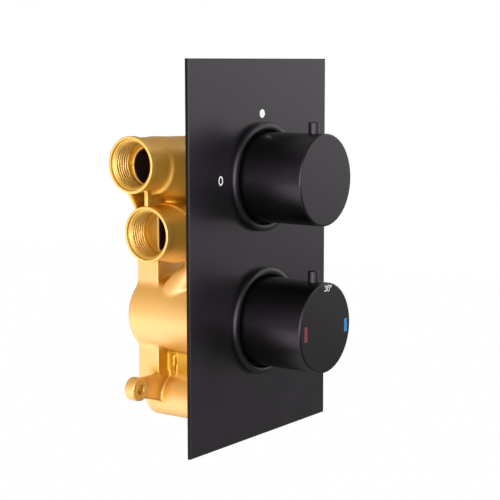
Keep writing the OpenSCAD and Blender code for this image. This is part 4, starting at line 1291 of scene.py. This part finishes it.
@dataclass
class Marks:
    """Printed marks on the plate and on the temperature knob.

    Places and half sizes are pairs, across and up. A bar is given as the place of its middle
    line across, its lower and its upper end, and its ink. The two arcs are shares of the half
    width and the half height of the three.
    """

    sunk: float = 0.02
    proud: float = 0.03
    dot_at: Pair = (0.9, 75.2)
    dot_r: float = 2.35
    off_at: Pair = (-36.8, 40.7)
    off_half: Pair = (1.55, 2.15)
    off_line: float = 0.85
    bars: tuple[tuple[str, float, float, float, Ink], ...] = (
        ("hot_bar", -19.0, -44.3, -36.0, Ink.RED), ("cold_bar", 20.2, -44.3, -36.9, Ink.BLUE))
    bar_half: float = 1.4
    number_at: Pair = (1.8, -17.7)
    number_line: float = 0.46
    three: tuple[Pair, Pair] = ((-2.15, 0), (1.15, 1.4))
    upper_arc: Pair = (0.88, 0.48)
    lower_arc: Pair = (1.0, 0.52)
    loops: tuple[tuple[str, Pair, Pair], ...] = (
        ("mark_eight_top", (0.85, 0.78), (0.85, 0.63)),
        ("mark_eight_low", (0.85, -0.76), (1.1, 0.85)), ("mark_degree", (3.2, 0.72), (0.5, 0.46)))

    def _flat(self, name: str, edges: tuple[Array, Array], face: Face, ink: Ink = Ink.WHITE,
              closed: bool = False) -> bpy.types.Object:
        """Thin closed piece between two edges, printed on a face.

        Args:
            name: Name of the piece.
            edges: Its left and its right edge, each as (n, 2), across and up in millimetres.
            face: The face that it lies on.
            ink: The colour.
            closed: Whether the edges close on themselves.

        Returns:
            The mark.
        """
        left, right = edges
        level, body = face.value
        top, under = level - self.proud, level + self.sunk
        rows = [(left, top), (right, top), (right, under), (left, under)]
        ring = [np.stack([e[:, 0], np.full(len(e), v), e[:, 1]], axis=1) for e, v in rows]
        points = np.stack(ring, axis=1).reshape(-1, 3) * MM
        quads = grid_quads(len(left), 4, closed, True)
        if not closed:
            last = 4 * (len(left) - 1)
            quads = np.concatenate([quads, [[3, 2, 1, 0], [last, last + 1, last + 2, last + 3]]])
        piece = make_piece(name, points, outward(points, quads))
        ink.value.dress(piece)
        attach(piece, body)
        return piece

    def _loop(self, centre: Sequence[float], half: Sequence[float]) -> Array:
        """Ellipse round a centre, as a closed path."""
        t = np.linspace(0, 2 * math.pi, 48, endpoint=False)
        return np.stack([centre[0] + half[0] * np.cos(t), centre[1] + half[1] * np.sin(t)], axis=1)

    def _three(self, centre: Sequence[float], half: Sequence[float]) -> Array:
        """Figure three as one path: an upper and a lower open arc that meet at the waist.

        Formula: each arc is a part of an ellipse about half the figure's half height above or
        below the middle, and the lower one is moved so that it starts where the upper one ends.

        Args:
            centre: Middle of the figure.
            half: Half of its width and of its height.

        Returns:
            Points of the path as (n, 2).
        """
        upper, lower = np.radians(np.linspace(150, -90, 26)), np.radians(np.linspace(90, -150, 30))
        top, low = (np.stack([np.cos(t) * half[0] * wide, side * half[1] / 2
                              + np.sin(t) * half[1] * tall], axis=1)
                    for t, side, (wide, tall) in ((upper, 1, self.upper_arc),
                                                  (lower, -1, self.lower_arc)))
        low[:, 1] += top[-1, 1] - low[0, 1]
        return np.concatenate([top, low[1:]]) + np.asarray(centre)

    def build(self) -> list[bpy.types.Object]:
        """Prints the marks.

        Returns:
            The printed pieces.
        """
        t = np.linspace(0, math.pi, 40)
        dot, half = np.array(self.dot_at), self.dot_r * np.stack([np.cos(t), np.sin(t)], axis=1)
        off = stroke(self._loop(self.off_at, self.off_half), self.off_line, True)
        pieces = [self._flat("index_dot", (dot + half, dot + half * (1, -1)), Face.PLATE),
                  self._flat("off_mark", off, Face.PLATE, closed=True)]
        for name, x, low, high, ink in self.bars:
            left = np.array([[x - self.bar_half, low], [x - self.bar_half, high]])
            edges = left, left + (2 * self.bar_half, 0)
            pieces.append(self._flat(name, edges, Face.KNOB, ink))
        centre, (shift, size) = np.array(self.number_at), self.three
        edges = stroke(self._three(centre + shift, size), self.number_line, False)
        pieces.append(self._flat("mark_three", edges, Face.KNOB))
        for name, shift, size in self.loops:
            edges = stroke(self._loop(centre + shift, size), self.number_line, True)
            pieces.append(self._flat(name, edges, Face.KNOB, closed=True))
        return pieces


@dataclass
class Controls:
    """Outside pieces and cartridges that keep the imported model's shape and get their finish.

    A spring is given as its node, its joint, the number of its axis and the travel in metres.
    """

    nodes: dict[str, bpy.types.Object]
    record: dict[str, object]
    springs: tuple[tuple[str, str, int, float], ...] = (
        ("button_spring", "button_press", 2, 0.003),
        ("return_spring", "valve_slide", 1, 0.0011),
    )

    def _shorten_springs(self) -> None:
        """Gives each spring a mesh of its own; the springs keep their imported shape."""
        for name, joint, along, travel in self.springs:
            low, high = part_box(name)
            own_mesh(self.nodes[name])

    def build(self) -> list[bpy.types.Object]:
        """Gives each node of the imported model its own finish, or else that of its material slot.

        Returns:
            The dressed nodes.
        """
        dressed = []
        for part in self.record["subparts"]:
            node = self.nodes[part["node"]]
            FINISHES.get(part["node"], FINISHES[part["material_slot"]]).dress(node)
            dressed.append(node)
        self._shorten_springs()
        return dressed


# Studio


@dataclass
class Studio:
    """Pale room that is lighter on the left and at the right front, with one soft lamp.

    Its brightness starts from the first number of the room and changes by the other three
    above, on the left and at the right front. A way holds the factors of x, y and perhaps z
    by which a side's light grows, and a range where it starts and where it is full.
    """

    camera_at: Triple = (-0.625216, -0.450712, 0.102549)
    lens: float = 100.893
    sensor: float = 36.0
    near: float = 0.01
    azimuth: float = -53.864
    elevation: float = 7.598
    roll: float = -0.085
    room: Quad = (0.53, 0.2, 3.2, 1.1)
    left_way: Triple = (-0.84, -0.50, -0.21)
    left_range: Pair = (0.45, 0.95)
    above_range: Pair = (0.0, 0.6)
    right_way: Pair = (0.75, -0.65)
    right_range: Pair = (0.55, 0.95)
    right_height: Pair = (-0.2, 0.1)
    floor_z: float = -0.5
    floor_half: float = 3.0
    lamp_at: Triple = (-0.95, -0.42, -0.25)
    lamp_size: float = 0.9
    lamp_power: float = 4.0

    def _camera(self) -> None:
        """Camera at the photograph's place, looking the way that its two angles give."""
        a, e = math.radians(self.azimuth), math.radians(self.elevation)
        ahead = Vector((-math.sin(a) * math.cos(e), math.cos(a) * math.cos(e), -math.sin(e)))
        data = bpy.data.cameras.new("camera")
        data.lens, data.sensor_width, data.clip_start = self.lens, self.sensor, self.near
        camera = bpy.data.objects.new("camera", data)
        bpy.context.scene.collection.objects.link(camera)
        turn = ahead.to_track_quat("-Z", "Y").to_matrix().to_4x4()
        roll = Matrix.Rotation(math.radians(self.roll), 4, "Z")
        camera.matrix_world = Matrix.Translation(self.camera_at) @ turn @ roll
        bpy.context.scene.camera = camera

    def _world(self) -> None:
        """White to the camera, and for all else the room."""
        world = bpy.data.worlds.new("room")
        bpy.context.scene.world = world
        world.use_nodes = True
        kit = Paint(world.node_tree)
        x, y, z = kit.axes("Generated")
        a, b, c = self.left_way
        left = kit.span(x * a + y * b + z * c, *self.left_range, 0.0, 1.0)
        above = kit.span(z, *self.above_range, 0.0, 1.0)
        a, b = self.right_way
        right = (kit.span(x * a + y * b, *self.right_range, 0.0, 1.0)
                 * kit.span(z, *self.right_height, 0.0, 1.0))
        base, less, on_left, on_right = self.room
        light = base - less * above + on_left * left + on_right * right
        room = kit.node("ShaderNodeBackground", {}, {"Color": light})
        white = kit.node("ShaderNodeBackground", {}, {"Color": (1, 1, 1, 1)})
        seen = kit.node("ShaderNodeLightPath", out="Is Camera Ray")
        both = kit.node("ShaderNodeMixShader", {}, {0: seen, 1: room, 2: white})
        kit.node("ShaderNodeOutputWorld", {}, {"Surface": both})

    def _lamp(self) -> None:
        """Square soft lamp on the left that faces the valve."""
        data = bpy.data.lights.new("soft_left", "AREA")
        data.size, data.energy = self.lamp_size, self.lamp_power
        lamp = bpy.data.objects.new("soft_left", data)
        bpy.context.scene.collection.objects.link(lamp)
        turn = (-Vector(self.lamp_at)).to_track_quat("-Z", "Y").to_matrix().to_4x4()
        lamp.matrix_world = Matrix.Translation(self.lamp_at) @ turn

    def _floor(self) -> None:
        """Pale floor well below the valve."""
        edge = np.array([-self.floor_half, self.floor_half])
        x, y = np.meshgrid(edge, edge, indexing="ij")
        points = np.stack([x.ravel(), y.ravel(), np.full(4, self.floor_z)], axis=1)
        floor = make_piece("floor", points, np.array([[0, 2, 3, 1]]))
        PaleFloor().dress(floor)

    def build(self) -> None:
        """Sets up the camera, the light and the floor."""
        self._camera()
        self._world()
        self._floor()
        self._lamp()
        bpy.context.scene.view_settings.view_transform = "Standard"


def main() -> None:
    """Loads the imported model, builds the sub-assemblies in order and reports each piece."""
    logging.basicConfig(level=logging.INFO, format="%(name)s: %(message)s")
    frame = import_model()
    built: list[bpy.types.Object] = []
    for part in (Controls(frame["nodes"], frame["record"]), CastBody(), Marks()):
        made = part.build()
        built += made
        for piece in made:
            LOG.info("%s: %s, %d faces", type(part).__name__, piece.name, len(piece.data.polygons))
    for piece in built:
        if piece.name not in frame["nodes"] and body_of(piece) is None:
            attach(piece, "valve")
    Studio().build()


if __name__ == "__main__":
    main()
